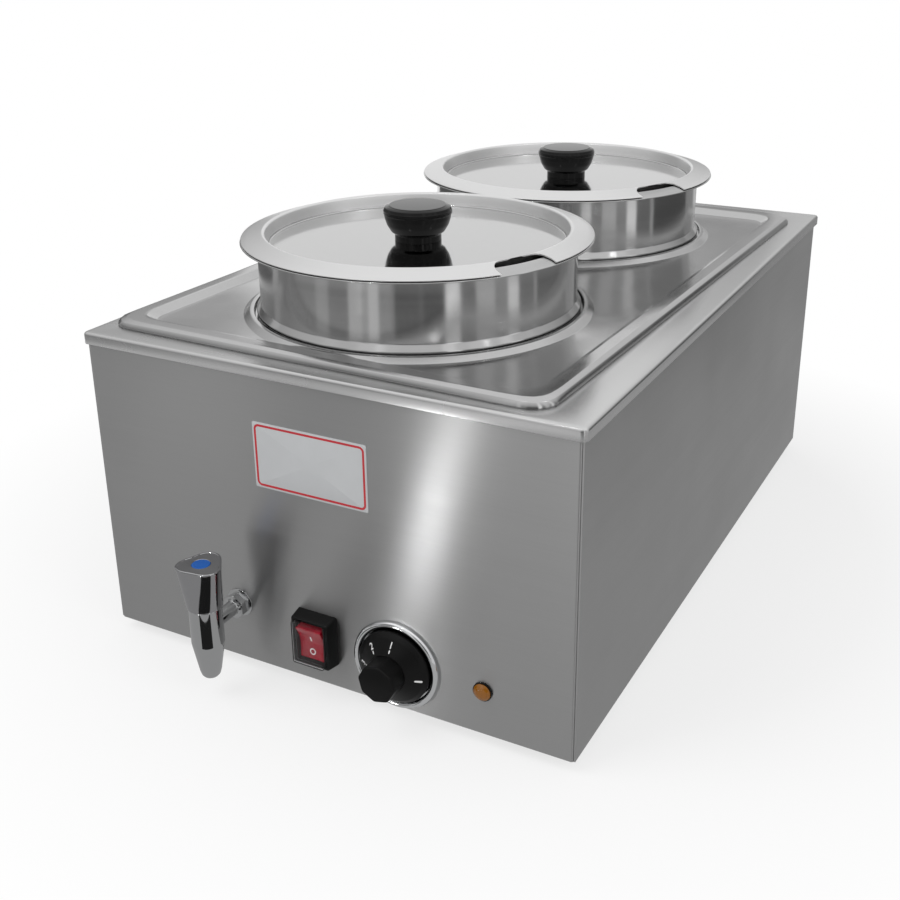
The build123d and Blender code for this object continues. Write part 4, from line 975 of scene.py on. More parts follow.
@dataclass
class AdapterPlate:
    """The pressed plate: a height over its panel from the rim and both lips."""

    width: float = 326.0
    length: float = 505.0
    corner: float = 17.0
    turn: float = -1.3
    centre: tuple[float, float] = (-5.0, 266.5)
    rim_width: float = 19.0
    inner_corner: float = 14.0
    hole_shift: float = 3.9
    hole_pitch: float = 242.0
    ledge: float = 108.5
    outer: float = 121.5
    sheet: float = 1.0
    rays: int = 224
    far: float = 400.0
    halvings: int = 44
    blend_power: int = 8
    rim: Points = ((0.0, 1.6), (1.5, 4.0), (4.5, 5.3), (12.5, 5.3), (14.0, 5.0), (19.0, 1.0), (24.0, 1.0))
    rim_rounds: tuple[float, ...] = (1.2, 2.2, 1.0, 0.9, 0.8)
    lip: Points = ((108.5, 1.0), (113.8, 1.0), (114.35, 4.4), (117.3, 4.4), (121.5, 1.0), (126.0, 1.0))
    lip_rounds: tuple[float, ...] = (0.5, 0.45, 1.0, 1.0)

    def _box_distance(self, spots: np.ndarray, half: tuple[float, float], corner: float) -> np.ndarray:
        """Distance to a rounded rectangle, positive outside.

        The distance past the corner circles' rectangle, less the corner's radius.

        Args:
            spots: places on the plate, x and y.
            half: half the rectangle's sides.
            corner: its corners' radius.

        Returns:
            One distance for each spot.
        """
        past = np.abs(spots) - (np.array(half) - corner)
        outside = np.linalg.norm(np.maximum(past, 0), axis=-1)
        return outside + np.minimum(past.max(axis=-1), 0) - corner

    def _inset(self, spots: np.ndarray) -> np.ndarray:
        """How far in from the plate's edge a spot counts, in the rim's own width.

        The share of the way between the outer outline and the rim's inner foot, times
        the rim's width; further in it goes on rising with the distance.

        Args:
            spots: places on the plate, x and y.

        Returns:
            One inset for each spot.
        """
        outer = -self._box_distance(spots, (self.width / 2, self.length / 2), self.corner)
        foot = (self.width / 2 - self.rim_width, self.length / 2 - self.rim_width)
        inner = self._box_distance(spots, foot, self.inner_corner)
        within = self.rim_width * outer / np.maximum(outer + inner, 1e-9)
        return np.where(inner > 0, within, self.rim_width - inner)

    def _lines(self) -> tuple[np.ndarray, np.ndarray]:
        """The rim's and the lip's rounded lines."""
        return bent(self.rim, self.rim_rounds, 6), bent(self.lip, self.lip_rounds, 6)

    def _height(self, spots: np.ndarray, ring: np.ndarray) -> np.ndarray:
        """The plate's upper side: the panel's level and the smooth greater of rim and lip.

        Args:
            spots: places on the plate, x and y.
            ring: each spot's distance from its hole's middle.

        Returns:
            One height for each spot.
        """
        rim_line, lip_line = self._lines()
        rim = np.interp(self._inset(spots), rim_line[:, 0], rim_line[:, 1]) - self.sheet
        lip = np.interp(ring, lip_line[:, 0], lip_line[:, 1]) - self.sheet
        power = self.blend_power
        both = (np.maximum(rim, 0) ** power + np.maximum(lip, 0) ** power) ** (1 / power)
        return self.sheet + both

    def _angles(self) -> np.ndarray:
        """Ray angles about the front hole: even ones and those through the rim at the middle line.

        Returns:
            The angles, rising, in radians.
        """
        right = np.arctan2(self.hole_pitch / 2, self.width / 2 - self._lines()[0][:, 0])
        regular = np.linspace(-math.pi, math.pi, self.rays, endpoint=False)
        every = np.concatenate([regular, right, math.pi - right])
        every = np.sort((every + math.pi) % TURN - math.pi)
        return every[np.concatenate([[True], np.diff(every) > 1e-4])]

    def _half(self, side: int) -> tuple[np.ndarray, np.ndarray]:
        """One half of the plate, as rays from its hole.

        Each ray carries the lip's radii and the radii where the rim's insets lie,
        sorted and cut off at the middle line between the holes. Where a ray crosses an
        inset is found by halving the way between the ledge and a far point.

        Args:
            side: -1 for the front half and 1 for the rear one.

        Returns:
            The upper side's grid, rows by rays, and whether each ray ends at the rim.
        """
        angles = self._angles() * -side
        way = np.stack([np.cos(angles), np.sin(angles)], axis=-1)
        hole = np.array([0.0, self.hole_shift + side * self.hole_pitch / 2])
        toward = -side * way[:, 1]
        to_middle = np.where(toward > 1e-9, self.hole_pitch / 2 / np.maximum(toward, 1e-9), 1e9)
        rim_line, lip_line = self._lines()
        radii = [np.full(len(angles), radius) for radius in np.unique(np.round(lip_line[:-1, 0], 4))]
        ends_at_rim = np.ones(len(angles), bool)
        for inset in np.unique(np.round(rim_line[:-1, 0], 4)):
            near, far = np.full(len(angles), self.ledge), np.full(len(angles), self.far)
            for _ in range(self.halvings):
                middle = (near + far) / 2
                inside = self._inset(hole + way * middle[:, None]) > inset
                near, far = np.where(inside, middle, near), np.where(inside, far, middle)
            radii.append(near)
            if inset == 0:
                ends_at_rim = near <= to_middle + 1e-4
                to_middle = np.minimum(to_middle, near)
        radii = np.sort(np.minimum(np.array(radii), to_middle), axis=0)
        radii = np.maximum(radii, self.ledge)
        spots = hole + way * radii[..., None]
        height = self._height(spots, radii)
        return np.concatenate([spots, height[..., None]], axis=-1), ends_at_rim

    def mesh(self) -> bpy.types.Mesh:
        """Both halves, their undersides, the hole edges and the outer edge, welded.

        Returns:
            The mesh, in metres.
        """
        skin = Skin()
        for side in (-1, 1):
            upper, at_rim = self._half(side)
            lower = upper - [0, 0, self.sheet]
            for grid in (upper, lower, np.stack([upper[0], lower[0]])):
                skin.add(self._placed(grid), closed_columns=True)
            shift = -int(np.argmin(at_rim))
            kept = np.roll(at_rim, shift)
            ring, low_ring = (np.roll(part[-1], shift, axis=0)[kept] for part in (upper, lower))
            skin.add(self._placed(np.stack([ring, ring * [1, 1, 0], low_ring])))
        return skin.mesh("adapter_plate_skin", 42)

    def _placed(self, grid: np.ndarray) -> np.ndarray:
        """Turns the plate's own points and sets them on the deck.

        Args:
            grid: points in the plate's own frame.

        Returns:
            The points in the object's frame.
        """
        low, high = node_box("top_deck")
        sine, cosine = math.sin(math.radians(self.turn)), math.cos(math.radians(self.turn))
        x = grid[..., 0] * cosine - grid[..., 1] * sine + self.centre[0]
        y = grid[..., 0] * sine + grid[..., 1] * cosine + self.centre[1] + low[1]
        return np.stack([x, y, grid[..., 2] + high[2]], axis=-1)

    def build(self) -> None:
        """Makes the plate."""
        Bench.piece("adapter_tray", self.mesh(), Slot.SATIN, "adapter_plate", ["adapter_plate"], PLATE_STEEL)


@dataclass
class Pot:
    """A round pot hung by its bead."""

    end: str
    sheet: float = 0.8
    line: Points = (
        (0.0, -137.6), (107.1, -137.6), (107.1, 1.2), (112.0, 3.6), (112.0, 5.4), (109.1, 9.5), (109.1, 54.9),
        (120.3, 51.7),
    )
    bends: tuple[float, ...] = (14.0, 1.2, 0.8, 1.2, 2.0, 1.2)
    longest_run: float = 16.0
    columns: int = 240

    def build(self) -> None:
        """Makes the pot."""
        node = f"pot_{self.end}"
        section = sheet_section(divided(bent(self.line, self.bends, 7), self.longest_run), self.sheet)
        place = plan_middle(node, deck_level())
        mesh = turned_mesh(section, self.columns, place, f"{node}_skin", 60)
        Bench.piece(f"round_{node}", mesh, Slot.SATIN, node, [node], POT_STEEL)


@dataclass
class Lid:
    """A ladle lid with its turned knob."""

    end: str
    notch_angle: float
    sheet: float = 0.8
    line: Points = ((0.0, 47.6), (102.0, 47.6), (104.6, 57.6), (119.8, 53.14))
    bends: tuple[float, ...] = (1.4, 1.6)
    notch_half: float = 22.0
    notch_inner: float = 105.3
    notch_corner: float = 9.0
    notch_rows: tuple[float, ...] = (0, 0.004, 0.02, 0.06, 0.14, 0.26, 0.42, 0.62, 0.9, 1.4, 2.1, 3.0)
    longest_run: float = 7.0
    columns: int = 224
    knob: Points = (
        (0.0, 0.0), (16.0, 0.0), (16.0, 4.5), (18.6, 6.4), (21.3, 11.0), (22.7, 15.5), (23.2, 18.3), (23.5, 18.6),
        (23.5, 20.9), (23.2, 21.3), (22.5, 23.0), (20.6, 23.7), (19.9, 23.9), (19.2, 24.3), (0.0, 24.3),
    )
    knob_rounds: tuple[float, ...] = (0.3, 0.9, 3.5, 9.0, 9.0, 0.3, 0.25, 0.3, 0.3, 0.6, 0.5, 0.3, 0.3)

    def _half_angle(self, radius: np.ndarray) -> np.ndarray:
        """Half the angle that the notch takes at a radius.

        First the notch's inner end as a straight line, then its round corner, then its
        straight side.

        Args:
            radius: distances from the lid's axis.

        Returns:
            One angle for each radius, in radians.
        """
        middle = np.array([self.notch_inner + self.notch_corner, self.notch_half - self.notch_corner])
        reach = float(np.hypot(*middle))
        bearing = math.atan2(middle[1], middle[0])
        first = math.hypot(self.notch_inner, middle[1])
        second = math.hypot(middle[0], self.notch_half)
        safe = np.maximum(radius, self.notch_inner)
        line = np.arccos(self.notch_inner / safe)
        cosine = (safe**2 + reach**2 - self.notch_corner**2) / (2 * safe * reach)
        round_end = bearing + np.arccos(np.clip(cosine, -1, 1))
        side = np.arcsin(np.clip(self.notch_half / safe, -1, 1))
        angle = np.where(safe <= first, line, np.where(safe <= second, round_end, side))
        return np.where(radius <= self.notch_inner, 0.0, angle)

    def disc(self, place: np.ndarray) -> bpy.types.Mesh:
        """The lid as rows of its section, each swept round between the notch's sides.

        Rows close together follow the notch's round corner, at the section's heights.

        Args:
            place: where its own origin goes, in millimetres.

        Returns:
            The mesh, in metres.
        """
        line = divided(bent(self.line, self.bends, 8), self.longest_run)
        radii = np.array(self.notch_rows) + self.notch_inner
        close = np.column_stack([radii, np.interp(radii, line[:, 0], line[:, 1])])
        line = np.concatenate([line[line[:, 0] < radii[0]], close, line[line[:, 0] > radii[-1]]])
        section = sheet_section(line, self.sheet)
        radius = section[:, 0]
        half = self._half_angle(radius)[:, None]
        angle = half + np.linspace(0, 1, self.columns) * (TURN - 2 * half) + math.radians(self.notch_angle)
        grid = np.stack([polar(reach, row, level) for (reach, level), row in zip(section, angle)]) + place
        skin = Skin().add(grid)
        upper = np.arange(len(section) // 2)
        upper = upper[radius[upper] >= self.notch_inner - 1e-9]
        for column in (0, -1):
            skin.add(np.stack([grid[upper, column], grid[len(section) - 1 - upper, column]], axis=1))
        return skin.mesh(f"lid_{self.end}_skin", 50)

    def handle(self, place: np.ndarray) -> bpy.types.Mesh:
        """The turned knob."""
        return turned_mesh(bent(self.knob, self.knob_rounds, 6), 128, place, f"lid_knob_{self.end}_skin", 35)

    def build(self) -> None:
        """Makes the lid and its knob."""
        body, knob = f"lid_{self.end}", f"lid_knob_{self.end}"
        Bench.piece(f"ladle_{body}", self.disc(plan_middle(knob, deck_level())), Slot.MIRROR, body, [body])
        handle = self.handle(plan_middle(knob, node_box(knob)[0][2]))
        Bench.piece(f"turned_knob_{self.end}", handle, Slot.PHENOLIC, body, [knob])


@dataclass
class Tap:
    """The drain tap: barrel, level pipe, lobed handle and blue disc."""

    barrel: Points = (
        (0.0, 24.0), (4.0, 24.0), (4.0, 16.0), (4.9, 16.0), (6.2, 17.6), (7.2, 21.0), (10.85, 42.0),
        (10.85, 68.4), (8.2, 68.4), (8.2, 77.0), (0.0, 77.0),
    )
    barrel_rounds: tuple[float, ...] = (0.2, 0.25, 0.5, 1.5, 2.0, 9.0, 0.7, 0.2, 0.3)
    pipe: Points = (
        (0.0, -26.0), (6.0, -26.0), (6.0, 0.0), (10.0, 0.0), (10.0, 1.0), (8.3, 1.0), (8.3, 8.0), (6.4, 8.0),
        (5.0, 9.0), (5.0, 26.0), (0.0, 26.0),
    )
    pipe_rounds: tuple[float, ...] = (0.4, 0.1, 0.15, 0.25, 0.15, 0.7, 0.5, 0.8, 0.4)
    pipe_columns: int = 144
    collar_span: tuple[float, float] = (1.1, 7.9)
    collar_core: float = 6.6
    collar_flat: float = 7.36
    low_radius: float = 11.8
    top_radius: float = 14.7
    lobe: float = 1.9
    lobe_turn: float = -22.0
    height: float = 30.2
    foot_round: float = 0.5
    top_round: float = 1.1
    brim: Points = ((0.5, 0.0), (0.8, 0.25))
    cap_radius: float = 6.05
    cap_depth: float = 3.0
    recess: Points = ((0.7, 0.25), (0.25, 0.15), (0.0, 0.4))
    hollow: float = 8.5
    hollow_rise: float = 8.6
    hollow_round: float = 0.3
    cap: Points = ((0.0, 0.0), (6.0, 0.0), (6.0, 2.95), (0.0, 2.95))
    cap_rounds: tuple[float, ...] = (0.2, 0.55)

    def _outline(self, share: np.ndarray, angle: np.ndarray) -> np.ndarray:
        """Radius of the handle at a share of its height.

        It runs from the low to the top radius, with three lobes that grow with the height.

        Args:
            share: how far up the handle, from 0 to 1.
            angle: bearings about its axis.

        Returns:
            One radius for each bearing.
        """
        plain = self.low_radius + (self.top_radius - self.low_radius) * share
        return plain + self.lobe * share * np.cos(3 * (angle - math.radians(self.lobe_turn)))

    def handle(self, place: np.ndarray) -> bpy.types.Mesh:
        """The handle as rows from its hollow out, up its side and in to the disc's recess.

        A row is an inset, a level and a share of the height. With a share, its radius is
        the outline's there less the inset, and without one it is the inset itself.

        Args:
            place: where its own origin goes, in millimetres.

        Returns:
            The mesh, in metres.
        """
        angle = even_angles(180)
        edge, top = self.hollow_round, self.height
        rows: list[tuple[float, float, float | None]] = [
            (0.0, self.hollow_rise, None),
            (self.hollow - edge, self.hollow_rise, None),
            (self.hollow, self.hollow_rise - edge, None),
            (self.hollow, edge, None),
            (self.hollow + edge, 0.0, None),
        ]
        rows += [(inset, rise, 0.0) for inset, rise in quarter_round(self.foot_round, 4)]
        rows += [(0.0, share * top, share) for share in np.linspace(0.04, 0.94, 14)]
        rows += [(inset, top - drop, 1 - drop / top) for drop, inset in quarter_round(self.top_round, 7)]
        rows += [(self.top_round + inset, top - drop, 1.0) for inset, drop in self.brim]
        rows += [(self.cap_radius + out, top - drop, None) for out, drop in self.recess]
        rows += [(self.cap_radius, top - self.cap_depth, None), (0.0, top - self.cap_depth, None)]
        grid = [
            polar(inset if share is None else self._outline(share, angle) - inset, angle, level)
            for inset, level, share in rows
        ]
        return Skin().add(np.array(grid) + place, closed_columns=True).mesh("tap_handle_skin", 38)

    def fitting(self, place: np.ndarray) -> bpy.types.Mesh:
        """The level pipe: a turned section whose collar is drawn in to six flats.

        Args:
            place: where its own origin goes, in millimetres.

        Returns:
            The mesh, in metres.
        """
        section = bent(self.pipe, self.pipe_rounds, 5)
        grid = turned(section, self.pipe_columns)
        angle = even_angles(self.pipe_columns)
        flats = self.collar_flat / np.cos((angle + TURN / 12) % (TURN / 6) - TURN / 12)
        radius, level = section[:, 0], section[:, 1]
        low, high = self.collar_span
        collar = (level > low) & (level < high) & (radius > self.collar_core)
        reach = np.maximum(np.hypot(grid[..., 0], grid[..., 1]), 1e-6)
        grid[..., :2] *= np.where(collar[:, None], np.minimum(flats / reach, 1.0), 1.0)[..., None]
        return front_mesh(grid, place, "tap_pipe_skin", 35)

    def build(self) -> None:
        """Makes the tap's pieces."""
        foot = plan_middle("tap_body", 0.0)
        barrel = turned_mesh(bent(self.barrel, self.barrel_rounds, 7), 128, foot, "tap_barrel_skin", 35)
        Bench.piece("tap_barrel", barrel, Slot.CHROMED, "casing", ["tap_body"])
        pipe = self.fitting(rear_middle("tap_washer"))
        Bench.piece("tap_pipe", pipe, Slot.CHROMED, "casing", ["tap_washer", "tap_inlet_pipe"])
        low, high = node_box("tap_handle")
        handle = self.handle(foot + [0, 0, low[2]])
        Bench.piece("tap_lever", handle, Slot.CHROMED, "tap_handle", ["tap_handle"], HANDLE_CHROME)
        disc_place = foot + [0, 0, high[2] - self.cap_depth]
        disc = turned_mesh(bent(self.cap, self.cap_rounds, 5), 96, disc_place, "tap_cap_skin", 40)
        Bench.piece("tap_disc", disc, Slot.BLUE, "tap_handle", ["tap_cap"])


Faces = list[list[int]]
GLYPH_WEIGHT = 0.012


def glyph(text: str, height: float) -> tuple[np.ndarray, Faces]:
    """A character as flat faces, its middle at the origin.

    Args:
        text: the character.
        height: its height.

    Returns:
        The points as two columns, and the faces.
    """
    curve = bpy.data.curves.new("glyph", "FONT")
    curve.body = text
    curve.size = 1.0
    curve.offset = GLYPH_WEIGHT
    thing = bpy.data.objects.new("glyph", curve)
    mesh = bpy.data.meshes.new_from_object(thing)
    points = np.empty(len(mesh.vertices) * 3)
    mesh.vertices.foreach_get("co", points)
    points = points.reshape(-1, 3)[:, :2]
    faces = [list(face.vertices) for face in mesh.polygons]
    bpy.data.objects.remove(thing)
    bpy.data.meshes.remove(mesh)
    bpy.data.curves.remove(curve)
    low, high = points.min(axis=0), points.max(axis=0)
    return (points - (high + low) / 2) * height / (high - low)[1], faces


@dataclass
class Dial:
    """The bright ring and the black dial with its printed scale."""

    ring: Points = (
        (0.0, 0.0), (30.8, 0.0), (30.8, 2.0), (30.1, 3.3), (28.6, 4.0), (27.1, 3.3), (26.5, 1.9), (26.2, 0.8),
        (0.0, 0.8),
    )
    ring_rounds: tuple[float, ...] = (0.2, 1.2, 1.4, 1.6, 1.4, 1.0, 0.5)
    skirt: Points = ((0.0, 3.0), (25.2, 3.0), (25.2, 4.8), (22.4, 7.4), (13.0, 12.5), (0.0, 12.5))
    skirt_rounds: tuple[float, ...] = (0.3, 1.2, 5.0, 1.0)
    columns: int = 144
    grip_columns: int = 192
    grip_radius: float = 13.2
    grip_cut: float = 0.28
    grip_blend: float = 6.0
    grip_levels: tuple[float, ...] = (11.0, 14.0, 18.0, 22.0)
    grip_reach: float = 26.0
    grip_turn: float = 14.7
    grip_edge: float = 0.9
    numeral_radius: float = 19.3
    numeral_height: float = 3.9
    first_angle: float = 85.0
    pitch: float = 46.5
    numerals: int = 4
    dash_half: tuple[float, float] = (0.4, 1.0)
    dash_radius: float = 15.6
    start_half: tuple[float, float] = (0.7, 2.3)
    start_radius: float = 20.4
    start_angle: float = -5.0
    print_rise: float = 0.04

    def _surface(self, radius: np.ndarray) -> np.ndarray:
        """Height of the skirt's upper side at a radius.

        Args:
            radius: distances from the dial's axis.

        Returns:
            One height for each radius.
        """
        section = bent(self.skirt, self.skirt_rounds, 7)
        upper = section[section[:, 1] > self.skirt[2][1] - 0.01][::-1]
        return np.interp(radius, upper[:, 0], upper[:, 1])

    def grip(self) -> np.ndarray:
        """The eight-sided grip: straight sides with round corners and a round top edge.

        A side's radius is its distance from the axis over the cosine of the angle from
        its middle, blended with the corners' radius as the smooth smaller of the two.

        Returns:
            The grid of points about the upright axis.
        """
        angle = even_angles(self.grip_columns) + TURN / self.grip_columns / 2
        folded = (angle + TURN / 16) % (TURN / 8) - TURN / 16
        sharp = math.cos(TURN / 16) * self.grip_radius / np.cos(folded)
        corner, blend = self.grip_radius - self.grip_cut, self.grip_blend
        plain = -np.log(np.exp(-blend * sharp) + math.exp(-blend * corner)) / blend
        turn, top = angle + math.radians(self.grip_turn), self.grip_reach
        grid = [polar(0.0, turn, self.grip_levels[0])]
        grid += [polar(plain, turn, level) for level in self.grip_levels]
        grid += [polar(plain - inset, turn, top - drop) for drop, inset in quarter_round(self.grip_edge, 6)]
        return np.array([*grid, polar(0.0, turn, top)])

    def scale(self, place: np.ndarray) -> bpy.types.Mesh:
        """The printed numbers, dashes and start mark, laid on the skirt.

        A mark's sideways place becomes an angle about the axis and its upward place a
        radius, and each point takes the skirt's height there.

        Args:
            place: where its own origin goes, in millimetres.

        Returns:
            The mesh, in metres.
        """
        marks = []
        for number in range(self.numerals):
            angle = self.first_angle + number * self.pitch
            marks.append((*glyph(str(number + 1), self.numeral_height), angle, self.numeral_radius))
            marks.append((*self._bar(*self.dash_half), angle, self.dash_radius))
        marks.append((*self._bar(*self.start_half), self.start_angle, self.start_radius))
        points: list[np.ndarray] = []
        faces: Faces = []
        count = 0
        for flat, shape, angle, radius in marks:
            reach = radius + flat[:, 1]
            turn = math.radians(angle) - flat[:, 0] / radius
            points.append(polar(reach, turn, self._surface(reach) + self.print_rise))
            faces += [[index + count for index in face] for face in shape]
            count += len(flat)
        mesh = bpy.data.meshes.new("dial_scale_skin")
        mesh.from_pydata(facing(np.concatenate(points), place) * MM, [], faces)
        return mesh

    def _bar(self, half_width: float, half_length: float) -> tuple[np.ndarray, Faces]:
        """A bar with round ends, in strips across so that it can follow the skirt.

        Args:
            half_width: half its width.
            half_length: half its length.

        Returns:
            The points as two columns, and the faces.
        """
        turn = np.linspace(0, TURN / 4, 5)
        cap = half_width * (1 - np.cos(turn))
        middle = np.linspace(half_width - half_length, half_length - half_width, 8)[1:-1]
        along = np.concatenate([cap - half_length, middle, (half_length - cap)[::-1]])
        across = half_width * np.concatenate([np.sin(turn), np.ones(len(middle)), np.sin(turn)[::-1]])
        sides = np.concatenate([np.column_stack([-across, along]), np.column_stack([across, along])])
        count = len(along)
        return sides, [[row, count + row, count + row + 1, row + 1] for row in range(count - 1)]

    def build(self) -> None:
        """Makes the ring, the dial and its scale."""
        place = rear_middle("thermostat_bezel")
        ring = turned(bent(self.ring, self.ring_rounds, 6), self.columns)
        Bench.piece(
            "dial_ring", front_mesh(ring, place, "dial_ring_skin", 40), Slot.TRIM, "casing", ["thermostat_bezel"]
        )
        skin = Skin()
        for grid in (turned(bent(self.skirt, self.skirt_rounds, 7), self.columns), self.grip()):
            skin.add(facing(grid, place), closed_columns=True)
        Bench.piece("dial_knob", skin.mesh("dial_knob_skin", 30), Slot.DIAL, "dial", ["thermostat_knob"])
        Bench.piece("dial_scale", self.scale(place), Slot.DIAL, "dial", [], PRINT_WHITE)


@dataclass
class Switch:
    """The rocker switch in its frame, under the clear hood."""

    frame_half: tuple[float, float] = (15.0, 18.0)
    frame_corner: float = 1.5
    frame_rise: float = 10.0
    frame_draw: float = 1.05
    frame_edge: float = 0.5
    body_half: tuple[float, float] = (12.3, 15.5)
    body_corner: float = 0.6
    body_depth: float = 22.0
    gap_half: tuple[float, float] = (10.0, 14.2)
    gap_floor: float = 20.0
    rocker_half: float = 9.5
    rocker_ends: Points = ((0.0, 0.0), (0.0, 0.93), (0.15, 0.975), (0.5, 1.0))
    profile: Points = (
        (-12.3, 9.37), (-11.7, 9.6), (-6.0, 8.1), (0.0, 7.2), (6.0, 8.1), (11.7, 9.6), (12.3, 9.37), (11.5, 2.2),
        (6.15, -5.0), (-6.15, -5.0), (-11.3, 2.2),
    )
    profile_rounds: tuple[float, ...] = (0.4, 0.5, 2.0, 6.0, 2.0, 0.5, 0.3, 0.4, 0.6, 0.6, 0.4)
    tilt: float = 10.0
    pivot_depth: float = 2.2
    bar: tuple[float, float, float] = (0.45, 1.6, 5.6)
    ring: tuple[float, float, float] = (1.5, 2.3, -6.6)
    print_rise: float = 0.05
    hood_half: tuple[float, float] = (12.0, 15.5)
    hood_rise: float = 3.8
    hood_wall: float = 0.8
    hood_corners: tuple[float, float] = (1.5, 0.7)
    hood_rounds: tuple[float, float] = (0.9, 0.5)

    def housing(self, place: np.ndarray) -> bpy.types.Mesh:
        """The moulding as lofted outlines, from a point behind round to the cavity's floor.

        Args:
            place: where its own origin goes, in millimetres.

        Returns:
            The mesh, in metres.
        """
        (half_x, half_z), corner, top = self.frame_half, self.frame_corner, self.frame_rise
        (body_x, body_z), (gap_x, gap_z) = self.body_half, self.gap_half
        rows = [(0.0, 0.0, 0.0, -self.body_depth)]
        rows += [(body_x, body_z, self.body_corner, level) for level in (-self.body_depth, 0.0)]
        draw, edge = self.frame_draw, self.frame_edge
        for inset, level in (
            (0.0, 0.0), (0.02, 0.3), (draw - 0.05, top - edge), (draw + 0.15, top - 0.15), (draw + edge, top)
        ):
            rows.append((half_x - inset, half_z - inset, corner, level))
        rows += [
            (gap_x + 0.2, gap_z + 0.2, 0.7, top),
            (gap_x, gap_z, 0.5, top - 0.2),
            (gap_x, gap_z, 0.5, -self.gap_floor),
            (0.0, 0.0, 0.0, -self.gap_floor),
        ]
        return front_mesh(np.array([level_outline(*row) for row in rows]), place, "switch_housing_skin", 30)

    def rocker(self, place: np.ndarray) -> bpy.types.Mesh:
        """The rocker: its side profile carried across, drawn in at both ends, and tipped.

        Args:
            place: where its own origin goes, in millimetres.

        Returns:
            The mesh, in metres.
        """
        first, last = self.profile[0], self.profile[-1]
        start = ((first[0] + last[0]) / 2, (first[1] + last[1]) / 2)
        line = bent([start, *self.profile, start], self.profile_rounds, 5)[:-1]
        middle = line.mean(axis=0)
        ends = [(inset - self.rocker_half, share) for inset, share in self.rocker_ends]
        rows = []
        for across, share in [*ends, *((-across, share) for across, share in ends[::-1])]:
            rows.append(np.column_stack([np.full(len(line), across), middle + (line - middle) * share]))
        skin = Skin().add(self._tipped(np.array(rows), place), closed_columns=True)
        return skin.mesh("switch_rocker_skin", 30)

    def _tipped(self, grid: np.ndarray, place: np.ndarray) -> np.ndarray:
        """Turns points across, up and out about the pivot, and faces them to the front.

        Args:
            grid: points across, up and out.
            place: where its own origin goes, in millimetres.

        Returns:
            The points in the object's frame.
        """
        angle = math.radians(self.tilt)
        up, out = grid[..., 1], grid[..., 2] - self.pivot_depth
        tipped_up = up * math.cos(angle) - out * math.sin(angle)
        tipped_out = up * math.sin(angle) + out * math.cos(angle) + self.pivot_depth
        return facing(np.stack([grid[..., 0], tipped_up, tipped_out], axis=-1), place)

    def marks(self, place: np.ndarray) -> bpy.types.Mesh:
        """The bar on the upper half and the ring on the lower half of the rocker.

        Args:
            place: where its own origin goes, in millimetres.

        Returns:
            The mesh, in metres.
        """
        half, low, high = self.bar
        bar = np.array([[[-half, high], [half, high]], [[-half, low], [half, low]]])
        inner, outer, level = self.ring
        angle = np.arange(49) / 48 * TURN
        ring = np.array([polar(radius, angle, 0.0)[:, :2] + [0, level] for radius in (inner, outer)])
        top = bent(self.profile[:7], self.profile_rounds[1:6], 5)
        skin = Skin()
        for flat in (bar, ring):
            out = np.interp(flat[..., 1], top[:, 0], top[:, 1]) + self.print_rise
            skin.add(self._tipped(np.concatenate([flat, out[..., None]], axis=-1), place))
        return skin.mesh("switch_marks_skin", 30, outward=False)

    def hood(self, place: np.ndarray) -> bpy.types.Mesh:
        """The clear hood: an outer and an inner shell joined at the rim.

        Args:
            place: where its own origin goes, in millimetres.

        Returns:
            The mesh, in metres.
        """
        x, z = self.hood_half
        wall, rise = self.hood_wall, self.hood_rise
        (outer, inner), (outer_round, inner_round) = self.hood_corners, self.hood_rounds
        rows = [(0.0, 0.0, 0.0, rise)]
        for drop, inset in quarter_round(outer_round, 4)[::-1]:
            rows.append((x - inset, z - inset, outer, rise - drop))
        rows += [(x, z, outer, 0.0), (x - wall, z - wall, inner, 0.0)]
        for drop, inset in quarter_round(inner_round, 4):
            rows.append((x - wall - inset, z - wall - inset, inner, rise - wall - drop))
        rows.append((0.0, 0.0, 0.0, rise - wall))
        return front_mesh(np.array([level_outline(*row) for row in rows]), place, "switch_hood_skin", 30)

    def build(self) -> None:
        """Makes the switch's pieces."""
        hood_place = rear_middle("switch_cover")
        place = hood_place + [0, self.frame_rise, 0]
        Bench.piece("switch_frame", self.housing(place), Slot.NYLON, "casing", ["switch_housing"])
        Bench.piece("switch_key", self.rocker(place), Slot.RED, "rocker", ["switch_rocker"])
        Bench.piece("switch_marks", self.marks(place), Slot.RED, "rocker", [], PRINT_WHITE)
        Bench.piece("switch_hood", self.hood(hood_place), Slot.CLEAR, "casing", ["switch_cover"])


@dataclass
class Lamp:
    """The domed lens of the signal lamp."""

    dome: Points = (
        (0.0, 0.4), (4.95, 0.4), (4.95, 1.45), (5.9, 1.45), (5.6, 2.3), (4.2, 3.4), (2.6, 4.0), (0.0, 4.2)
    )
    rounds: tuple[float, ...] = (0.1, 0.1, 0.2, 0.4, 1.5, 3.0)

    def build(self) -> None:
        """Makes the lens."""
        place = rear_middle("lamp_lens") + [0, self.dome[0][1], 0]
        lens = turned(bent(self.dome, self.rounds, 6), 72)
        mesh = front_mesh(lens, place, "lamp_lens_skin", 45)
        Bench.piece("signal_lens", mesh, Slot.AMBER, "casing", ["lamp_lens"])


@dataclass(frozen=True)
class SoftLight:
    """A rectangular light in metres and watts; one that sparkles shows in gloss and nowhere else."""

    name: str
    place: Triple
    target: Triple
    size: tuple[float, float]
    power: float
    sparkle: bool = False

    def hang(self) -> None:
        """Makes the light and points it at its target."""
        data = bpy.data.lights.new(self.name, "AREA")
        data.shape = "RECTANGLE"
        data.size, data.size_y = self.size
        data.energy = self.power
        light = bpy.data.objects.new(self.name, data)
        light.location = self.place
        light.rotation_euler = (Vector(self.target) - Vector(self.place)).to_track_quat("-Z", "Y").to_euler()
        light.visible_camera = False
        light.visible_glossy = self.sparkle
        light.visible_diffuse = not self.sparkle
        bpy.context.scene.collection.objects.link(light)


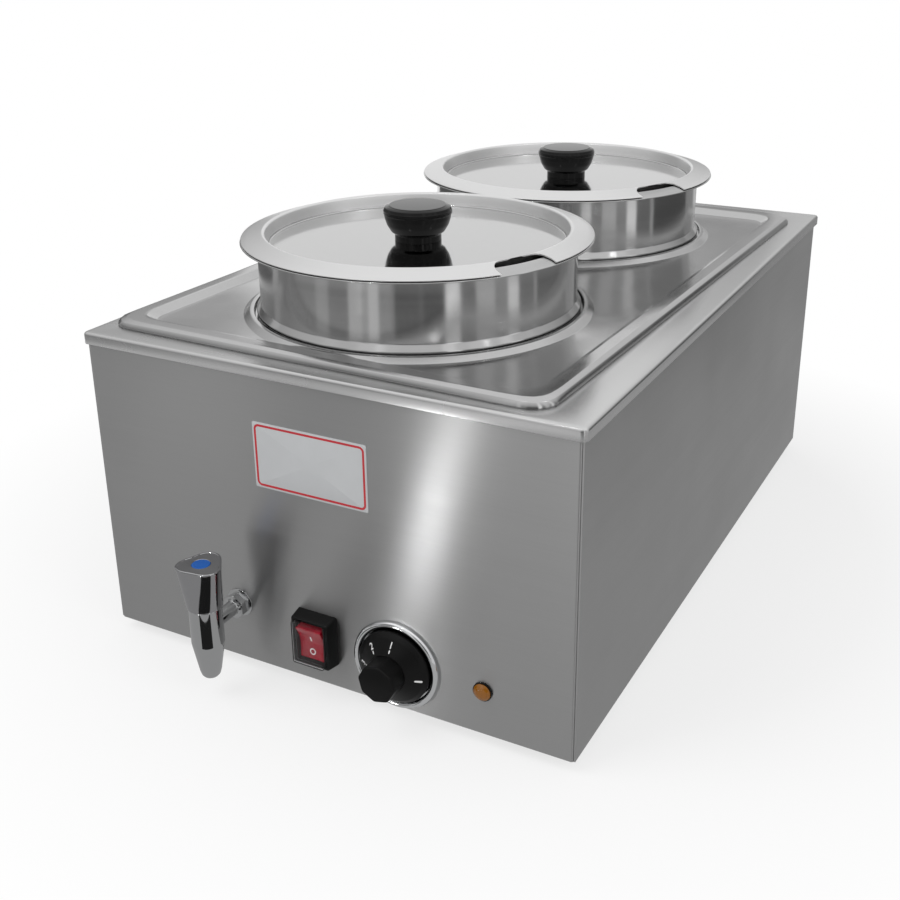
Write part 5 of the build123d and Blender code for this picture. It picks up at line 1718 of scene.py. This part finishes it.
@dataclass
class Studio:
    """The pale floor, the soft lights, what the metal mirrors, and the camera."""

    camera_place: Triple = (0.3975, -0.801985, 0.4818)
    camera_turn: Triple = (68.93, 28.18, -0.535)
    lens: float = 48.15
    shift: tuple[float, float] = (-0.0121, -0.0786)
    world_diffuse: float = 0.62
    floor_colour: Triple = even(0.86)
    floor_radii: tuple[float, ...] = (0.0, 300.0, 600.0, 1000.0, 2000.0, 5000.0, 12000.0)
    floor_middle: Triple = (0.0, -0.02, 0.0)
    floor_fade: Four = (0.3, 0.52, 0.7, 1.0)
    card_bearings: tuple[float, ...] = (-2.0, 68.0, 68.0, -2.0)
    card_reaches: tuple[float, ...] = (60.0, 60.0, 155.0, 155.0)
    card_level: float = 4.0
    card_glow: float = 0.02
    ring_step: float = 0.75
    band_edge: float = 0.8
    floor_grey: float = 0.42
    section: Sequence[tuple[float, float, float, float, float]] = (
        (0.0, 0.002, 1, 0, 0), (0.3, 0.002, 1, 0, 0), (0.55, 0.002, 1, 0, 0), (0.7, 0.002, 1, 0, 0),
        (0.76, 0.002, 0, 1, 0), (0.85, 0.002, 0, 1, 0), (0.85, 0.012, 0, 0, 0), (0.85, 0.28, 0, 0, 0),
        (0.85, 0.42, 0, 0, 0.3), (0.85, 0.6, 0, 0, 0.6), (0.85, 0.9, 0, 0, 0.75), (0.85, 1.2, 0, 0, 1),
    )
    foot_bands: Points = ((-180.0, 0.5), (-90.0, 0.95), (10.0, 0.5), (90.0, 0.35))
    bands: Points = (
        (-180.0, 0.25), (-172.0, 0.95), (-128.0, 0.13), (-81.0, 0.5), (-73.0, 0.27), (-37.0, 0.42),
        (-28.0, 0.22), (-15.0, 0.6), (-7.0, 0.45), (-3.0, 0.75), (3.0, 0.32), (12.0, 0.1), (26.0, 0.16),
        (28.0, 0.08), (41.0, 1.3), (50.0, 0.2), (60.0, 0.65), (73.0, 0.35), (83.0, 1.1), (92.0, 0.2),
        (106.0, 0.5), (109.0, 0.1), (150.0, 0.33), (167.0, 0.6),
    )
    lights: tuple[SoftLight, ...] = (
        SoftLight("key", (-0.9, -1.2, 1.9), (0.0, 0.0, 0.1), (1.4, 1.4), 18.0),
        SoftLight("fill", (1.8, -0.6, 1.2), (0.0, 0.0, 0.1), (1.2, 1.2), 8.0),
        SoftLight("spark_a", (-0.16, -0.95, 1.6), (0.0, -0.1, 0.25), (0.05, 0.05), 0.6, sparkle=True),
        SoftLight("spark_b", (1.04, -0.17, 1.38), (0.0, -0.1, 0.25), (0.05, 0.05), 0.5, sparkle=True),
        SoftLight("streak", (-0.08, -0.555, 0.014), (0.09, -0.253, 0.13), (0.03, 0.02), 0.06, sparkle=True),
    )

    def camera(self) -> None:
        """Places the camera."""
        data = bpy.data.cameras.new("view")
        data.lens = self.lens
        data.sensor_width = 36.0
        data.shift_x, data.shift_y = self.shift
        data.clip_end = 50.0
        eye = bpy.data.objects.new("view", data)
        eye.location = self.camera_place
        pitch, heading, roll = (math.radians(part) for part in self.camera_turn)
        aim = Euler((pitch, 0.0, heading)).to_matrix() @ Matrix.Rotation(roll, 3, "Z")
        eye.rotation_euler = aim.to_euler()
        bpy.context.scene.collection.objects.link(eye)
        bpy.context.scene.camera = eye

    def world(self) -> None:
        """White where it is seen directly, in metal or through glass; softer on matt surfaces."""
        world = bpy.data.worlds.new("room")
        bpy.context.scene.world = world
        world.use_nodes = True
        graph = Graph(world.node_tree)
        back = world.node_tree.nodes["Background"]
        back.inputs["Color"].default_value = (1, 1, 1, 1)
        strength = graph.ranged(self._seen(graph), (0.0, 1.0, self.world_diffuse, 1.0))
        graph.join(strength, back.inputs["Strength"])

    def _seen(self, graph: Graph) -> bpy.types.NodeSocket:
        """1 for a ray from the camera, a mirror or glass.

        Args:
            graph: the material's or the world's graph.

        Returns:
            The value's output.
        """
        path = graph.node("ShaderNodeLightPath")
        either = graph.maths("MAXIMUM", path.outputs["Is Camera Ray"], path.outputs["Is Glossy Ray"])
        return graph.maths("MAXIMUM", either, path.outputs["Is Transmission Ray"])

    def floor(self) -> None:
        """A wide level floor that fades to pure white away from the object."""
        angle = even_angles(96)
        grid = np.array([polar(radius, angle, 0.0) for radius in self.floor_radii])
        mesh = Skin().add(grid, closed_columns=True).mesh("floor_skin", 30, outward=False)
        floor = bpy.data.objects.new("floor", mesh)
        bpy.context.scene.collection.objects.link(floor)
        graph, shader, material = start_material("pale_floor")
        shader.inputs["Base Color"].default_value = (*self.floor_colour, 1)
        shader.inputs["Roughness"].default_value = 0.9
        shader.inputs["Specular IOR Level"].default_value = 0.0
        place = graph.node("ShaderNodeTexCoord")
        mapping = graph.node("ShaderNodeMapping")
        mapping.inputs["Location"].default_value = self.floor_middle
        away = graph.node("ShaderNodeVectorMath", operation="LENGTH")
        graph.join(place.outputs["Object"], mapping.inputs["Vector"])
        graph.join(mapping.outputs["Vector"], away.inputs[0])
        far = graph.ranged(away.outputs["Value"], self.floor_fade)
        glow = graph.node("ShaderNodeEmission")
        mix = graph.node("ShaderNodeMixShader")
        share = graph.maths("MULTIPLY", far, self._seen(graph))
        for source, target in zip((share, shader.outputs[0], glow.outputs[0]), mix.inputs):
            graph.join(source, target)
        graph.join(mix.outputs[0], material.node_tree.nodes["Material Output"].inputs["Surface"])
        mesh.materials.append(material)

    def tap_card(self) -> None:
        """A dark card on the floor before the tap, its sides on lines from the tap's axis."""
        middle = plan_middle("tap_body", self.card_level)
        bearing = np.radians(self.card_bearings)
        way = np.column_stack([np.sin(bearing), -np.cos(bearing), np.zeros(len(bearing))])
        corners = (middle + np.array(self.card_reaches)[:, None] * way) * MM
        self._glowing("dark_card", corners, np.arange(len(corners))[None], np.full(len(corners), self.card_glow))

    def ring(self) -> None:
        """A round screen and floor, bright and dark in bands, that only the metal sees.

        The section runs out along the floor and up the wall. Each band of the wall runs
        between two bearings, counted from the front towards the right, and fades to white
        at the top. The floor has one grey, and near the wall a grey for each side.
        """
        bearing = np.arange(-180.0, 180.0, self.ring_step)
        turn = np.radians(bearing)
        wall = self._banded(self.bands, bearing)
        foot = self._banded(self.foot_bands, bearing)
        points, glows = [], []
        for reach, level, floor_share, foot_share, white in self.section:
            glow = floor_share * self.floor_grey + foot_share * foot + white
            glows.append(glow + (1 - floor_share - foot_share - white) * wall)
            points.append(polar(reach, turn - TURN / 4, level))
        quads = grid_quads((len(points), len(turn)), closed_columns=True)
        self._glowing("studio_ring", np.concatenate(points), quads, np.concatenate(glows))

    def _banded(self, bands: Points, bearing: np.ndarray) -> np.ndarray:
        """Strength at each bearing, with a short ramp between bands.

        Args:
            bands: where each band starts, in degrees, and its strength.
            bearing: bearings in degrees.

        Returns:
            One strength for each bearing.
        """
        starts = np.array([band[0] for band in bands])
        ends = np.append(starts[1:], 180.0)
        knots = np.column_stack([starts + self.band_edge, ends - self.band_edge]).ravel()
        return np.interp(bearing, knots, np.repeat([band[1] for band in bands], 2))

    def _glowing(self, name: str, points: np.ndarray, faces: np.ndarray, glows: np.ndarray) -> None:
        """A stage piece that shines, and that nothing but a reflection shows.

        Args:
            name: the piece's name.
            points: its points, in metres.
            faces: its faces' point numbers.
            glows: its strength at each point.
        """
        mesh = bpy.data.meshes.new(name)
        mesh.from_pydata(points, [], faces.tolist())
        layer = mesh.attributes.new("glow", "FLOAT", "POINT")
        layer.data.foreach_set("value", glows.astype(np.float32))
        thing = bpy.data.objects.new(name, mesh)
        bpy.context.scene.collection.objects.link(thing)
        material = bpy.data.materials.new(name)
        material.use_nodes = True
        graph = Graph(material.node_tree)
        reader = graph.node("ShaderNodeAttribute", attribute_name="glow")
        shine = graph.node("ShaderNodeEmission")
        graph.join(reader.outputs["Fac"], shine.inputs["Strength"])
        graph.join(shine.outputs[0], material.node_tree.nodes["Material Output"].inputs["Surface"])
        mesh.materials.append(material)
        thing.visible_camera = False
        thing.visible_diffuse = False
        thing.visible_shadow = False
        thing.visible_transmission = False

    def build(self) -> None:
        """Sets up the view and the light."""
        scene = bpy.context.scene
        scene.view_settings.view_transform = "Standard"
        self.camera()
        self.world()
        self.floor()
        self.ring()
        self.tap_card()
        for light in self.lights:
            light.hang()


LADLE_BEARINGS = {"front": -25.0, "rear": -27.0}


def main() -> None:
    """Builds the studio, dresses the CAD nodes, then builds the chafer's pieces in order."""
    logging.basicConfig(level=logging.INFO, format="%(name)s: %(message)s")
    Studio().build()
    Bench.dress_nodes()
    Casing().build()
    AdapterPlate().build()
    for end, bearing in LADLE_BEARINGS.items():
        Pot(end).build()
        Lid(end, bearing).build()
    Tap().build()
    Dial().build()
    Switch().build()
    Lamp().build()


if __name__ == "__main__":
    main()
